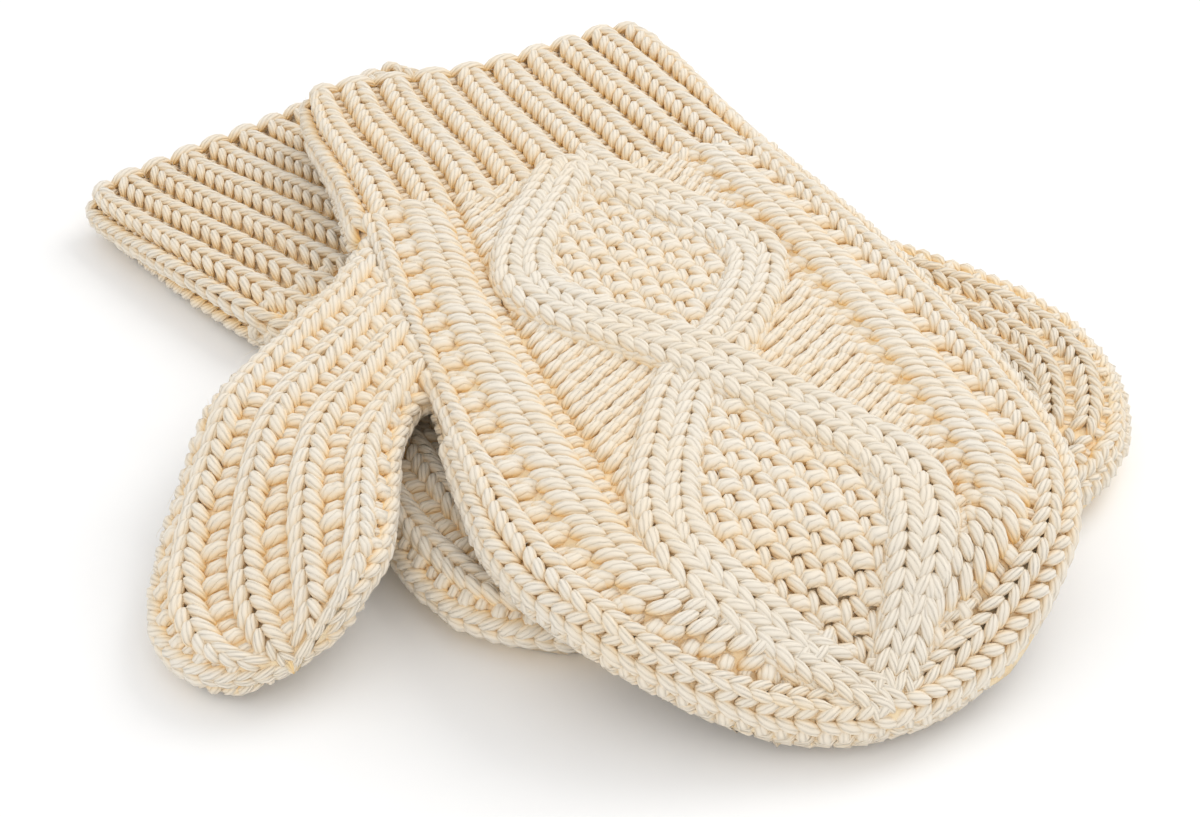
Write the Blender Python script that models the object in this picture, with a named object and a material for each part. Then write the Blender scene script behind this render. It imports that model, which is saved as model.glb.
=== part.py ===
"""Pair of hand-knitted Aran mittens, one laid across the other.

Each mitten is a rib cuff, a cabled back panel, a broken-rib palm panel and a thumb. Every
piece is a wall of chunky knit, raised on its outside over a plain inside, and the walls of
one mitten lie on each other with a slim slit between them. The lower mitten lies palm up.
The upper one lies back up across it and sags to the table at its tip and thumb.

A mitten is worked out in its own coordinates, in millimetres: s runs from the cast-on edge
to the tip, t runs across it with the thumb on the negative side, and z is the height.
"""

import math

import bmesh
import bpy
import numpy as np

MM = 0.001

THICKNESS = 15.0  # one mitten lying flat, from the ribs below to the ribs on top
HALF = THICKNESS / 2
SIDE_R = 7.5  # rounding of a side, seen along the mitten
WALL = 6.3  # wall at the sides, where the two panels meet
SLIT = 1.2  # half the height of the slit between the walls
SEAM = 0.3  # between sewn pieces
LIE = 15.45  # height of the upper mitten's underside where it lies on the lower one

CUFF_LENGTH = 70.0
CUFF_RIB = 2.0  # depth of the valleys between the cuff's ribs
CUFF_LEAN = 0.095  # how far the cuff's ribs lean across the width, as a share of it
PALM_RIB = 1.9  # depth of the valleys between the palm's columns
THUMB_RIB = 1.7
GROUND = -1.5  # level of the plain knitting between cables, below the ribs' tops
STRAND_RISE = 3.9  # height of a cable strand above that ground
STRAND_HALF = 6.6  # half its width
ROPE_AT = 0.665  # place of the twisted rope panel, as a share of the half width
ROPE_HALF = 7.4
ROPE_RISE = 3.6
ROPE_TWIST = 8.8  # length of one turn of the rope
COLUMN_AT = 0.865  # the narrow knit column outside the rope
VALLEY_AT = (0.545, 0.785)  # the purl valleys on both sides of the rope
VALLEY_DEPTH = 1.3

# Heading of the centreline, s and degrees from the world's +X, smoothed over 20 mm.
UPPER_START = (-33.7, 123.1)
UPPER_HEADING = ((0, -68.9), (255, -68.9))
LOWER_START = (-98.0, 115.0)
LOWER_HEADING = ((0, -46.0), (45, -46.0), (112, -29.6), (262, -29.6))

# s, half width of the knitted pattern, and how much the thumb's side is drawn in.
UPPER_OUTLINE = (
    (0, 51.5, 0.0), (6, 53.5, 0.0), (20, 55.2, -0.3), (45, 55.8, -0.5), (62, 57.2, -0.5),
    (76, 58.8, 2.3), (90, 60.8, 3.8), (111, 63.6, 6.1), (130, 65.2, 6.5), (149, 66.0, 5.6),
    (165, 66.0, 3.0), (192, 65.0, 0.0), (208, 62.5, 0.0), (220, 58.0, 1.5), (230, 51.5, 3.5),
    (238, 43.0, 5.0), (244, 34.0, 5.5), (248, 25.5, 5.0), (250.6, 17.0, 4.0), (252, 9.0, 2.0),
)
LOWER_OUTLINE = (
    (0, 54.0, -1.5), (3, 56.0, -2.5), (8, 57.0, -3.5), (20, 57.5, -3.5), (45, 58.0, -2.0),
    (62, 58.5, -0.5), (76, 59.5, 1.5), (90, 60.0, 2.5), (111, 60.5, 3.0), (130, 60.5, 3.0),
    (149, 60.0, 2.0), (165, 59.0, 0.5), (184, 57.5, 0.0), (207, 55.5, 0.0), (222, 52.0, 0.0),
    (236, 45.5, 0.0), (247, 35.5, 0.0), (253, 27.0, 0.0), (257.5, 17.0, 0.0), (259.5, 8.0, 0.0),
)
# Where the cast-on edge runs: place across as a share of the half width, and s there.
UPPER_EDGE = ((-1, 3.0), (-0.6, 3.0), (-0.15, 6.5), (0.15, 5.0), (0.5, 0.0), (0.75, -3.0), (1, 0.5))
LOWER_EDGE = ((-1, 2.5), (-0.5, 3.0), (0.0, 5.0), (1, 3.0))

# Sections of a thumb from its seam to its tip: s and t of the outer end, s and t of the
# inner end, and half the thickness.
UPPER_THUMB = (
    (77.0, -57.5, 142.0, -59.2, 6.2), (90.0, -67.5, 144.0, -61.4, 6.6),
    (104.0, -82.5, 147.0, -63.4, 6.9), (119.0, -99.5, 151.0, -65.8, 7.2),
    (134.0, -112.5, 156.5, -68.6, 7.4), (148.5, -121.2, 163.5, -71.0, 7.5),
    (162.0, -126.6, 171.0, -73.4, 7.5), (174.0, -129.0, 178.5, -76.2, 7.4),
    (184.0, -127.4, 185.5, -79.6, 7.2), (191.0, -122.6, 191.4, -85.0, 6.6),
    (195.6, -116.0, 195.6, -92.4, 5.2), (197.8, -108.6, 197.8, -100.0, 2.6),
)
LOWER_THUMB = (
    (77.0, -57.8, 142.0, -57.9, 6.2), (92.0, -69.5, 145.5, -61.2, 6.6),
    (108.0, -83.6, 150.0, -62.8, 6.9), (125.0, -97.6, 156.0, -63.6, 7.2),
    (142.0, -109.4, 163.0, -64.0, 7.4), (157.0, -115.4, 170.0, -64.4, 7.5),
    (170.0, -115.0, 177.5, -65.4, 7.5), (181.0, -111.2, 185.0, -67.2, 7.4),
    (190.0, -106.2, 192.0, -70.4, 7.2), (197.0, -100.4, 197.6, -75.0, 6.6),
    (201.6, -94.2, 201.4, -80.4, 5.2), (203.4, -88.8, 203.2, -84.6, 2.6),
)

# The diamond cable's two strands: s, and place across as a share of the half width. The
# first one passes over the second where they cross.
OVER_STRAND = (
    (64, 0.05), (70, -0.02), (80, -0.14), (90, -0.26), (100, -0.355), (110, -0.40),
    (118, -0.385), (128, -0.305), (138, -0.185), (148, -0.07), (158, 0.03), (168, 0.11),
    (178, 0.19), (188, 0.275), (198, 0.35), (208, 0.38), (218, 0.36), (228, 0.30),
    (238, 0.19), (246, 0.06), (252, -0.02),
)
UNDER_STRAND = (
    (60, 0.07), (70, 0.13), (80, 0.20), (90, 0.29), (100, 0.375), (110, 0.44), (120, 0.46),
    (130, 0.375), (140, 0.26), (148, 0.15), (156, -0.01), (164, -0.13), (174, -0.22),
    (184, -0.31), (194, -0.385), (204, -0.44), (214, -0.455), (224, -0.41), (234, -0.30),
    (243, -0.18), (250, -0.06), (254, -0.02),
)

BACK_COLUMNS = 50
BACK_ROWS = 43
PALM_ROWS = 22  # every second row of the back, so that the seams stay apart
SIDE_STEPS = 3
RIB_POINTS = 4
THUMB_RIBS = 10
INNER_COLUMNS = 8
INNER_ROWS = 14
CUFF_ROWS = (0.0, 1.2, 3.2, 24.0, 46.0, 62.0, CUFF_LENGTH)

WOOL = (0.86, 0.76, 0.60, 1.0)


def ease(x):
    """A step from 0 to 1 with no kink at its ends."""
    x = np.clip(x, 0.0, 1.0)
    return x * x * x * (x * (6 * x - 15) + 10)


def bump(x):
    """A rounded ridge, 1 on its line and 0 from x = 1 outwards."""
    return np.sqrt(np.clip(1 - np.asarray(x, float) ** 2, 0.0, 1.0))


class Mitten:
    """The layout of one mitten: its centreline, widths, and the height that it lies at."""

    def __init__(self, name, start, heading, outline, edge, rest):
        self.name, self.rest = name, rest
        self.edge = np.array(edge, float)
        self.outline = np.array(outline, float)
        self.length = self.outline[-1, 0]
        self.s = np.arange(-20.0, self.length + 20, 0.5)
        at, turn = np.array(heading, float).T
        turn = np.interp(self.s, at, np.radians(turn))
        turn = np.convolve(np.pad(turn, 20, mode="edge"), np.full(41, 1 / 41), "valid")
        steps = 0.5 * np.stack([np.cos(turn), np.sin(turn)], 1)
        line = np.cumsum(steps, axis=0)
        self.line = line - line[np.argmin(abs(self.s))] + start
        self.turn = turn

    def centre(self, s):
        return np.stack([np.interp(s, self.s, self.line[:, k]) for k in (0, 1)], -1)

    def width(self, s):
        """Half width of the knitted pattern."""
        return np.interp(s, self.outline[:, 0], self.outline[:, 1])

    def side(self, s, thumb):
        """Distance of a side from the centreline, on the thumb's side or the other."""
        inset = np.interp(s, self.outline[:, 0], self.outline[:, 2])
        return self.width(s) - inset * thumb

    def cast_on(self, s, t):
        """How far the slanting cast-on edge shifts a point of the cuff along the mitten."""
        shift = np.interp(t / self.width(s), self.edge[:, 0], self.edge[:, 1])
        return shift * ease(1 - s / CUFF_LENGTH)

    def place(self, points):
        """World points for an array of (s, t, z)."""
        s, t, z = np.asarray(points, float).T
        turn = np.interp(s, self.s, self.turn)
        flat = self.centre(s) + t[:, None] * np.stack([-np.sin(turn), np.cos(turn)], 1)
        return np.column_stack([flat, z + self.rest(flat, s)])


def on_table(flat, s):
    return np.zeros(len(flat))


lower = Mitten("lower", LOWER_START, LOWER_HEADING, LOWER_OUTLINE, LOWER_EDGE, on_table)


def from_line(flat, start, end, radius):
    """Distance of points from a round-ended strip."""
    start, along = np.array(start, float), np.subtract(end, start)
    share = np.clip((flat - start) @ along / (along @ along), 0.0, 1.0)
    return np.linalg.norm(flat - (start + share[:, None] * along), axis=1) - radius


def on_lower(flat, s):
    """Height of the upper mitten's underside: level on the lower mitten, then sagging to
    the table over a stretch that is short at the tip and long at the stiff cuff."""
    stretch = np.interp(s, [85, 135], [150, 56])
    clear = np.ones(len(flat))
    for start, end, radius in (
        (lower.centre(0.0), lower.centre(62.0), 52.0),
        (lower.centre(62.0), lower.centre(120.0), 55.5),
        (lower.centre(120.0), lower.centre(196.0), 55.5),
        (lower.centre(196.0), lower.centre(206.0), 50.0),
        ((-74.0, 24.0), (-11.0, -68.0), 21.5),
    ):
        clear *= ease(from_line(flat, start, end, radius) / stretch)
    return LIE * (1 - clear)


upper = Mitten("upper", UPPER_START, UPPER_HEADING, UPPER_OUTLINE, UPPER_EDGE, on_lower)


def strand(s, t, width, table):
    """Height share of one cable strand at points of the back."""
    at, share = np.array(table, float).T
    middle = np.interp(s, at, share) * width
    slope = (np.interp(s + 2, at, share) - np.interp(s - 2, at, share)) / 4 * width
    away = np.abs(t - middle) / np.hypot(1, slope)
    ends = ease((s - at[0] + 5) / 8) * ease((at[-1] + 1 - s) / 6)
    return bump(away / STRAND_HALF) * ends


def back_relief(s, t, width):
    """Cables, ropes and columns of a back panel, measured from the ribs' tops."""
    share = t / width
    narrow = np.clip(width / 60, 0.35, 1.0)  # the panels draw together at the tip
    over, under = strand(s, t, width, OVER_STRAND), strand(s, t, width, UNDER_STRAND)
    crossing = 0.9 * bump((s - 153) / 16) * over
    height = GROUND + STRAND_RISE * np.maximum(over, 0.86 * under) + crossing
    for sign in (-1, 1):
        from_rope = (share - sign * ROPE_AT) * width / narrow
        turn = np.cos(2 * np.pi * (s - 0.9 * sign * from_rope) / ROPE_TWIST)
        rope = bump(from_rope / ROPE_HALF)
        height = np.maximum(height, GROUND + rope * (ROPE_RISE + 0.45 * turn))
        column = bump((share - sign * COLUMN_AT) * width / narrow / 3.6)
        height = np.maximum(height, GROUND + 1.7 * column)
        for valley in VALLEY_AT:
            line = 1 - np.clip(np.abs(share - sign * valley) * width / narrow / 2.6, 0, 1)
            height = height - VALLEY_DEPTH * line * (rope <= 0)
    return height * ease((s - CUFF_LENGTH + 6) / 12) * ease((254 - s) / 10)


def palm_relief(s, t, width):
    """Knit columns of a palm panel with valleys between them."""
    pitch = 10.8
    narrow = np.clip(width / 58, 0.3, 1.0)
    away = np.abs((t / narrow / pitch) % 1.0 - 0.5) * 2  # 0 on a column, 1 in a valley
    return -PALM_RIB * ease((away - 0.25) / 0.7) * np.clip(narrow * 1.3 - 0.25, 0.2, 1.0)


def grid_faces(rows, columns, first=0, ring=False, flip=False):
    """Quads of a grid of points, in rows. In a ring the last column meets the first."""
    faces = []
    for i in range(rows - 1):
        for j in range(columns if ring else columns - 1):
            k = (j + 1) % columns
            quad = [i * columns + j, i * columns + k, (i + 1) * columns + k, (i + 1) * columns + j]
            faces.append([first + v for v in (quad[::-1] if flip else quad)])
    return faces


def zip_faces(one, two, share_one, share_two, flip=False):
    """Triangles between two rows of points that have different numbers of them."""
    faces, i, j = [], 0, 0
    while i < len(one) - 1 or j < len(two) - 1:
        left = share_one[i + 1] if i < len(one) - 1 else 9.0
        right = share_two[j + 1] if j < len(two) - 1 else 9.0
        if left <= right:
            face, i = [one[i], one[i + 1], two[j]], i + 1
        else:
            face, j = [one[i], two[j + 1], two[j]], j + 1
        faces.append(face[::-1] if flip else face)
    return faces


def add_node(name, mitten, points, faces):
    """Makes one named solid from points in the mitten's own coordinates."""
    world = mitten.place(np.array(points)) * MM
    mesh = bpy.data.meshes.new(name)
    mesh.from_pydata(world.tolist(), [], faces)
    shell = bmesh.new()
    shell.from_mesh(mesh)
    bmesh.ops.recalc_face_normals(shell, faces=shell.faces)
    shell.to_mesh(mesh)
    shell.free()
    material = bpy.data.materials.new(name + "_wool")
    material.use_nodes = True
    shader = material.node_tree.nodes["Principled BSDF"]
    shader.inputs["Base Color"].default_value = WOOL
    shader.inputs["Roughness"].default_value = 0.9
    mesh.materials.append(material)
    node = bpy.data.objects.new(name, mesh)
    bpy.context.scene.collection.objects.link(node)
    return node


def tip_round(mitten, s):
    """Half the thickness that is left near the tip."""
    left = np.clip((mitten.length + 0.8 - s) / (HALF + 2.5), 0.0, 1.0)
    return HALF * np.sqrt(np.clip(1 - (1 - left) ** 2, 0.0, 1.0))


def panel(name, mitten, up, relief, rows, columns):
    """A back or palm panel: a relief outside, a plain inside and a rim all round.

    up is 1 for the panel that lies on top and -1 for the one below.
    """
    start, end = CUFF_LENGTH + SEAM, mitten.length
    # The rows are closer near the tip, where the outline turns.
    run = np.linspace(0, 1, rows)
    s_rows = start + (end - start) * (1 - (1 - run) ** 1.35)
    angles = np.linspace(0, math.pi / 2, SIDE_STEPS + 1)
    flat = np.linspace(-1, 1, columns)
    outside = []
    for s in s_rows:
        thick = tip_round(mitten, s)
        low, high = -mitten.side(s, 1), mitten.side(s, 0)
        radius = min(SIDE_R, 0.8 * high)
        width = mitten.width(s)
        across = list(low + radius * (1 - np.cos(angles[:-1])))
        across += list(low + radius + (flat + 1) / 2 * (high - low - 2 * radius))
        across += list(high - radius * (1 - np.cos(angles[:-1][::-1])))
        lift = list(np.sin(angles[:-1])) + [1.0] * columns + list(np.sin(angles[:-1][::-1]))
        across, lift = np.array(across), np.array(lift)
        edge = ease((lift - 0.62) / 0.38)
        height = SEAM / 2 + (thick - SEAM / 2) * lift
        height = height + relief(np.full(len(across), s), across, width) * edge * thick / HALF
        outside.append(np.column_stack([np.full(len(across), s), across, HALF + up * height]))
    count = len(outside[0])
    points = np.concatenate(outside)
    inner_rows = np.linspace(start, end - WALL - 2, INNER_ROWS)
    inside = []
    for s in inner_rows:
        low, high = WALL - mitten.side(s, 1), mitten.side(s, 0) - WALL
        if s > inner_rows[-2]:
            low, high = low * 0.8, high * 0.8
        across = np.linspace(low, high, INNER_COLUMNS)
        level = np.full(INNER_COLUMNS, HALF + up * SLIT)
        inside.append(np.column_stack([np.full(INNER_COLUMNS, s), across, level]))
    first = len(points)
    points = np.concatenate([points, np.concatenate(inside)])
    faces = grid_faces(rows, count, flip=up > 0)
    faces += grid_faces(INNER_ROWS, INNER_COLUMNS, first, flip=up < 0)
    out = np.arange(rows * count).reshape(rows, count)
    inn = first + np.arange(INNER_ROWS * INNER_COLUMNS).reshape(INNER_ROWS, INNER_COLUMNS)
    for a, b, axis, flip in (
        (out[0], inn[0], 1, True), (out[-1], inn[-1], 1, False),
        (out[:, 0], inn[:, 0], 0, False), (out[:, -1], inn[:, -1], 0, True),
    ):
        shares = []
        for side in (a, b):
            along = points[side, axis]
            shares.append((along - along[0]) / (along[-1] - along[0]))
        faces += zip_faces(list(a), list(b), *shares, flip=flip == (up > 0))
    return add_node(name, mitten, points, faces)


def stadium(share, half_width, half_height):
    """Points of a flattened ring, at shares of its length from one end over the top, with
    the outward direction there."""
    arc, flat = math.pi / 2 * half_height, 2 * (half_width - half_height)
    length = np.asarray(share) % 1.0 * (4 * arc + 2 * flat)
    x, z, nx, nz = (np.zeros(len(length)) for _ in range(4))
    for k, run in enumerate(length):
        below = run > 2 * arc + flat
        run = run - below * (2 * arc + flat)
        if run < arc:
            turn = run / half_height
            at = (-half_width + half_height * (1 - math.cos(turn)), half_height * math.sin(turn))
            out = (-math.cos(turn), math.sin(turn))
        elif run < arc + flat:
            at, out = (run - arc - half_width + half_height, half_height), (0.0, 1.0)
        else:
            turn = (run - arc - flat) / half_height
            at = (half_width - half_height * (1 - math.sin(turn)), half_height * math.cos(turn))
            out = (math.sin(turn), math.cos(turn))
        sign = -1 if below else 1
        x[k], z[k], nx[k], nz[k] = sign * at[0], sign * at[1], sign * out[0], sign * out[1]
    return x, z, nx, nz


def rib_profile(phase, depth):
    """Outer surface of 1 x 1 rib: a round knit column and a narrow purl valley."""
    away = np.abs((np.asarray(phase) + 0.5) % 1.0 - 0.5) * 2
    return -depth * ease((away - 0.2) / 0.8)


def cuff(name, mitten, ribs_over, ribs_under):
    """A rib cuff: a flattened tube, open at its cast-on edge and at the wrist.

    ribs_over and ribs_under are the ribs on top and below.
    """
    over = np.arange(ribs_over * RIB_POINTS) / (ribs_over * RIB_POINTS) / 2
    under = np.arange(ribs_under * RIB_POINTS) / (ribs_under * RIB_POINTS) / 2 + 0.5
    share = np.concatenate([over, under])
    phase = np.tile(np.arange(RIB_POINTS) / RIB_POINTS, ribs_over + ribs_under)
    outside = []
    for s in CUFF_ROWS:
        lean = CUFF_LEAN / 4.4 * ease(s / CUFF_LENGTH * 0.8 + 0.1)
        half = mitten.width(s)
        x, z, nx, nz = stadium(share + lean, half, HALF)
        out = rib_profile(phase, CUFF_RIB)
        # A rib ends in a round knob at the cast-on edge, past the valleys beside it.
        if s < 1:
            out = out - 1.3
        along = s - (0.9 if s < 3 else 0.0) * (1 + out / CUFF_RIB) * (s < 3)
        if mitten is lower:
            out = np.where(z < -HALF + 0.01, 0.0, out)
        along = along + mitten.cast_on(s, x)
        outside.append(np.column_stack([along, x + nx * out, HALF + z + nz * out]))
    count = len(share)
    inner_share = np.linspace(0, 1, 24, endpoint=False)
    inside = []
    for s in (0.6, CUFF_LENGTH / 2, CUFF_LENGTH):
        x, z, _, _ = stadium(inner_share, mitten.width(s) - WALL, SLIT)
        inside.append(np.column_stack([s + mitten.cast_on(s, x), x, HALF + z]))
    points = np.concatenate(outside + inside)
    rows, first = len(CUFF_ROWS), len(CUFF_ROWS) * count
    faces = grid_faces(rows, count, ring=True, flip=True)
    faces += grid_faces(3, 24, first, ring=True)
    for row, inner, flip in ((0, 0, False), (rows - 1, 2, True)):
        a = [row * count + k for k in range(count)] + [row * count]
        b = [first + inner * 24 + k for k in range(24)] + [first + inner * 24]
        faces += zip_faces(a, b, list(share) + [1.0], list(inner_share) + [1.0], flip=flip)
    return add_node(name, mitten, points, faces)


def thumb(name, mitten, table):
    """A thumb: a flattened tube, open where it is sewn to the mitten's side."""
    count = THUMB_RIBS * RIB_POINTS
    share = np.arange(count) / count
    phase = np.arange(count) / RIB_POINTS
    sections = np.array(table, float)
    outside = []
    for k, (sa, ta, sb, tb, half) in enumerate(sections):
        reach = math.hypot(sb - sa, tb - ta) / 2
        x, z, nx, nz = stadium(share, reach, min(half, 0.93 * reach))
        depth = THUMB_RIB * min(1.0, reach / 22, k / 2)
        out = rib_profile(phase, depth)
        if mitten is lower:
            out = np.where(nz < -0.99, 0.0, out)
        x, z = x + nx * out, z + nz * out
        along = (x / reach + 1) / 2
        s, t = sa + (sb - sa) * along, ta + (tb - ta) * along
        low = HALF if mitten is upper else half
        outside.append(np.column_stack([s, t, low + z]))
    middle = outside[0].copy()
    middle[:, 2] = (middle[:, 2] - middle[:, 2].mean()) * 0.62 + middle[:, 2].mean()
    inner_share = np.linspace(0, 1, 16, endpoint=False)
    inside = []
    for sa, ta, sb, tb, half in sections[:9:2]:
        reach = math.hypot(sb - sa, tb - ta) / 2
        x, z, _, _ = stadium(inner_share, reach - WALL, 1.0)
        along = (x / reach + 1) / 2
        low = HALF if mitten is upper else half
        inside.append(np.column_stack([sa + (sb - sa) * along, ta + (tb - ta) * along, low + z]))
    # The open end follows the round side of the hand, a seam's gap away from it.
    for ring in (outside[0], middle, inside[0]):
        rise = ring[:, 2] - HALF
        round_out = np.sqrt(np.clip((SIDE_R + SEAM + 0.1) ** 2 - rise**2, 0, None))
        ring[:, 1] = -(mitten.side(ring[:, 0], 1) - SIDE_R + round_out)
    rows = [middle] + outside
    tip = sections[-1]
    end = np.array([[(tip[0] + tip[2]) / 2 + 1.2, (tip[1] + tip[3]) / 2, rows[-1][:, 2].mean()]])
    inner_end = inside[-1].mean(axis=0, keepdims=True)
    points = np.concatenate(rows + [end] + inside + [inner_end])
    first = len(rows) * count + 1
    faces = grid_faces(len(rows), count, ring=True)
    last = (len(rows) - 1) * count
    faces += [[last + k, last + (k + 1) % count, first - 1] for k in range(count)]
    faces += grid_faces(len(inside), 16, first, ring=True, flip=True)
    last = first + (len(inside) - 1) * 16
    faces += [[last + (k + 1) % 16, last + k, len(points) - 1] for k in range(16)]
    a = [k for k in range(count)] + [0]
    b = [first + k for k in range(16)] + [first]
    faces += zip_faces(a, b, list(share) + [1.0], list(inner_share) + [1.0], flip=True)
    return add_node(name, mitten, points, faces)


def flat_back(s, t, width):
    """The lower mitten's back is pressed flat on the table."""
    return np.zeros(len(s))


def main():
    for obj in list(bpy.data.objects):
        bpy.data.objects.remove(obj, do_unlink=True)
    nodes = [
        panel("lower_back", lower, -1, flat_back, 20, 10),
        panel("lower_palm", lower, 1, palm_relief, 26, 44),
        cuff("lower_cuff", lower, 13, 11),
        thumb("lower_thumb", lower, LOWER_THUMB),
        panel("upper_palm", upper, -1, palm_relief, PALM_ROWS, 44),
        panel("upper_back", upper, 1, back_relief, BACK_ROWS, BACK_COLUMNS),
        cuff("upper_cuff", upper, 11, 13),
        thumb("upper_thumb", upper, UPPER_THUMB),
    ]
    # The origin is the middle of the pair's outline, on the table.
    places = np.array([v.co for node in nodes for v in node.data.vertices])
    middle = (places.min(axis=0) + places.max(axis=0)) / 2
    for node in nodes:
        for vertex in node.data.vertices:
            vertex.co.x -= middle[0]
            vertex.co.y -= middle[1]


main()
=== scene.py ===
"""Pair of hand-knitted Aran mittens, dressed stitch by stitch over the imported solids.

Each panel, cuff and thumb gets a thin knitted cloth on its solid's form, and plump yarn
stitches on that: V stitches, purl bumps, moss seeds, cable strands and rope turns. Lengths
are in millimetres until a mesh is made. On a mitten s runs from the cast-on edge to the tip,
t across it with the thumb on the negative side, and z is the height.
"""
import logging
import math
from dataclasses import dataclass, field
from enum import Enum
from typing import Callable

import bpy
import numpy as np
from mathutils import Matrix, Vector


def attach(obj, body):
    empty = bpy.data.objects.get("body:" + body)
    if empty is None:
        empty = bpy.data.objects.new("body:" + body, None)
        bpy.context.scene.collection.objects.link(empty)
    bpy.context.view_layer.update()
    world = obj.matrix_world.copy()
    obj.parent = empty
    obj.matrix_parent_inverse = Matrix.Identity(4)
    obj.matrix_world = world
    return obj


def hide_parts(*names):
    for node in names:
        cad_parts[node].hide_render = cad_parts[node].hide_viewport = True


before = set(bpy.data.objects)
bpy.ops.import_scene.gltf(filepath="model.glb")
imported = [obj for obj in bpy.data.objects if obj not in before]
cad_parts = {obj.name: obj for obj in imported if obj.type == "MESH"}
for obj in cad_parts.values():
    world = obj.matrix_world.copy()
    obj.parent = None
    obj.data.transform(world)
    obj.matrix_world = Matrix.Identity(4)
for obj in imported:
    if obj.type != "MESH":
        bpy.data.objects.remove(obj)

Array = np.ndarray
log = logging.getLogger("mittens")

MM = 0.001
MIDDLE = (-6.758, 17.574)  # layout point that lies at the model's origin
HALF = 7.5  # half the thickness of a mitten
LIE = 15.45  # height of the upper mitten's underside on the lower one
CUFF_LENGTH = 70.0
CUFF_WIDTH = 118.0  # laid flat
CUFF_LEAN = 0.095
ROW = 3.95  # one row of knitting
PALM_PITCH = 10.8  # one raised and one recessed column of a palm
THUMB_RIBS = 10
THUMB_REACH = 27.0  # half width of a thumb whose stitches have their full size
ROPE_AT, COLUMN_AT, LADDER_AT, GUTTER_AT = 0.665, 0.872, 0.785, 0.548
WIDE = 61.0  # half width of a hand whose stitches have their full size
SMALLEST, LARGEST = 0.78, 1.08  # sizes of stitches where a hand is narrow or broad
GUSSET_END = 157.0  # where the upper thumb's gusset leaves the hand
LEAST_HEIGHT = 0.1  # no point lies nearer the table
LOOSE_DEPTH, MOST_DEPTH = 20.0, 9.0  # added to a stray fibre's depth, and more than any other's
SEED = 20

# Outlines: s, half width of the pattern, and how much the thumb's side is drawn in.
UPPER_OUTLINE = (
    (0, 51.5, 0.0), (6, 53.5, 0.0), (20, 55.2, -0.3), (45, 55.8, -0.5), (62, 57.2, -0.5),
    (76, 58.8, 2.3), (90, 60.8, 3.8), (111, 63.6, 6.1), (130, 65.2, 6.5), (149, 66.0, 5.6),
    (165, 66.0, 3.0), (192, 65.0, 0.0), (208, 62.5, 0.0), (220, 58.0, 1.5), (230, 51.5, 3.5),
    (238, 43.0, 5.0), (244, 34.0, 5.5), (248, 25.5, 5.0), (250.6, 17.0, 4.0), (252, 9.0, 2.0),
)
LOWER_OUTLINE = (
    (0, 54.0, -1.5), (3, 56.0, -2.5), (8, 57.0, -3.5), (20, 57.5, -3.5), (45, 58.0, -2.0),
    (62, 58.5, -0.5), (76, 59.5, 1.5), (90, 60.0, 2.5), (111, 60.5, 3.0), (130, 60.5, 3.0),
    (149, 60.0, 2.0), (165, 59.0, 0.5), (184, 57.5, 0.0), (207, 55.5, 0.0), (222, 52.0, 0.0),
    (236, 45.5, 0.0), (247, 35.5, 0.0), (253, 27.0, 0.0), (257.5, 17.0, 0.0), (259.5, 8.0, 0.0),
)
# Cast-on edges: share of the half width, and how far the edge is shifted along.
UPPER_EDGE = ((-1, 3.0), (-0.6, 3.0), (-0.15, 6.5), (0.15, 5.0), (0.5, 0.0), (0.75, -3.0), (1, 0.5))
LOWER_EDGE = ((-1, 2.5), (-0.5, 3.0), (0.0, 5.0), (1, 3.0))
# Thumbs' sections: s and t of the outer end, s and t of the inner end, half thickness.
UPPER_THUMB = (
    (71.5, -52.5, 140.8, -54.5, 5.8),
    (77.0, -57.5, 142.0, -59.2, 6.2), (90.0, -67.5, 144.0, -61.4, 6.6),
    (104.0, -82.5, 147.0, -63.4, 6.9), (119.0, -99.5, 151.0, -65.8, 7.2),
    (134.0, -112.5, 156.5, -68.6, 7.4), (148.5, -121.2, 163.5, -71.0, 7.5),
    (162.0, -126.6, 171.0, -73.4, 7.5), (174.0, -129.0, 178.5, -76.2, 7.4),
    (184.0, -127.4, 185.5, -79.6, 7.2), (191.0, -122.6, 191.4, -85.0, 6.6),
    (195.6, -116.0, 195.6, -92.4, 5.2), (197.8, -108.6, 197.8, -100.0, 2.6),
    (199.0, -104.6, 199.0, -104.0, 0.3),
)
LOWER_THUMB = (
    (71.5, -52.8, 139.5, -53.0, 5.8),
    (77.0, -57.8, 142.0, -57.9, 6.2), (92.0, -69.5, 145.5, -61.2, 6.6),
    (108.0, -83.6, 150.0, -62.8, 6.9), (125.0, -97.6, 156.0, -63.6, 7.2),
    (142.0, -109.4, 163.0, -64.0, 7.4), (157.0, -115.4, 170.0, -64.4, 7.5),
    (170.0, -115.0, 177.5, -65.4, 7.5), (181.0, -111.2, 185.0, -67.2, 7.4),
    (190.0, -106.2, 192.0, -70.4, 7.2), (197.0, -100.4, 197.6, -75.0, 6.6),
    (201.6, -94.2, 201.4, -80.4, 5.2), (203.4, -88.8, 203.2, -84.6, 2.6),
    (204.4, -86.9, 204.4, -86.4, 0.3),
)
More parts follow.
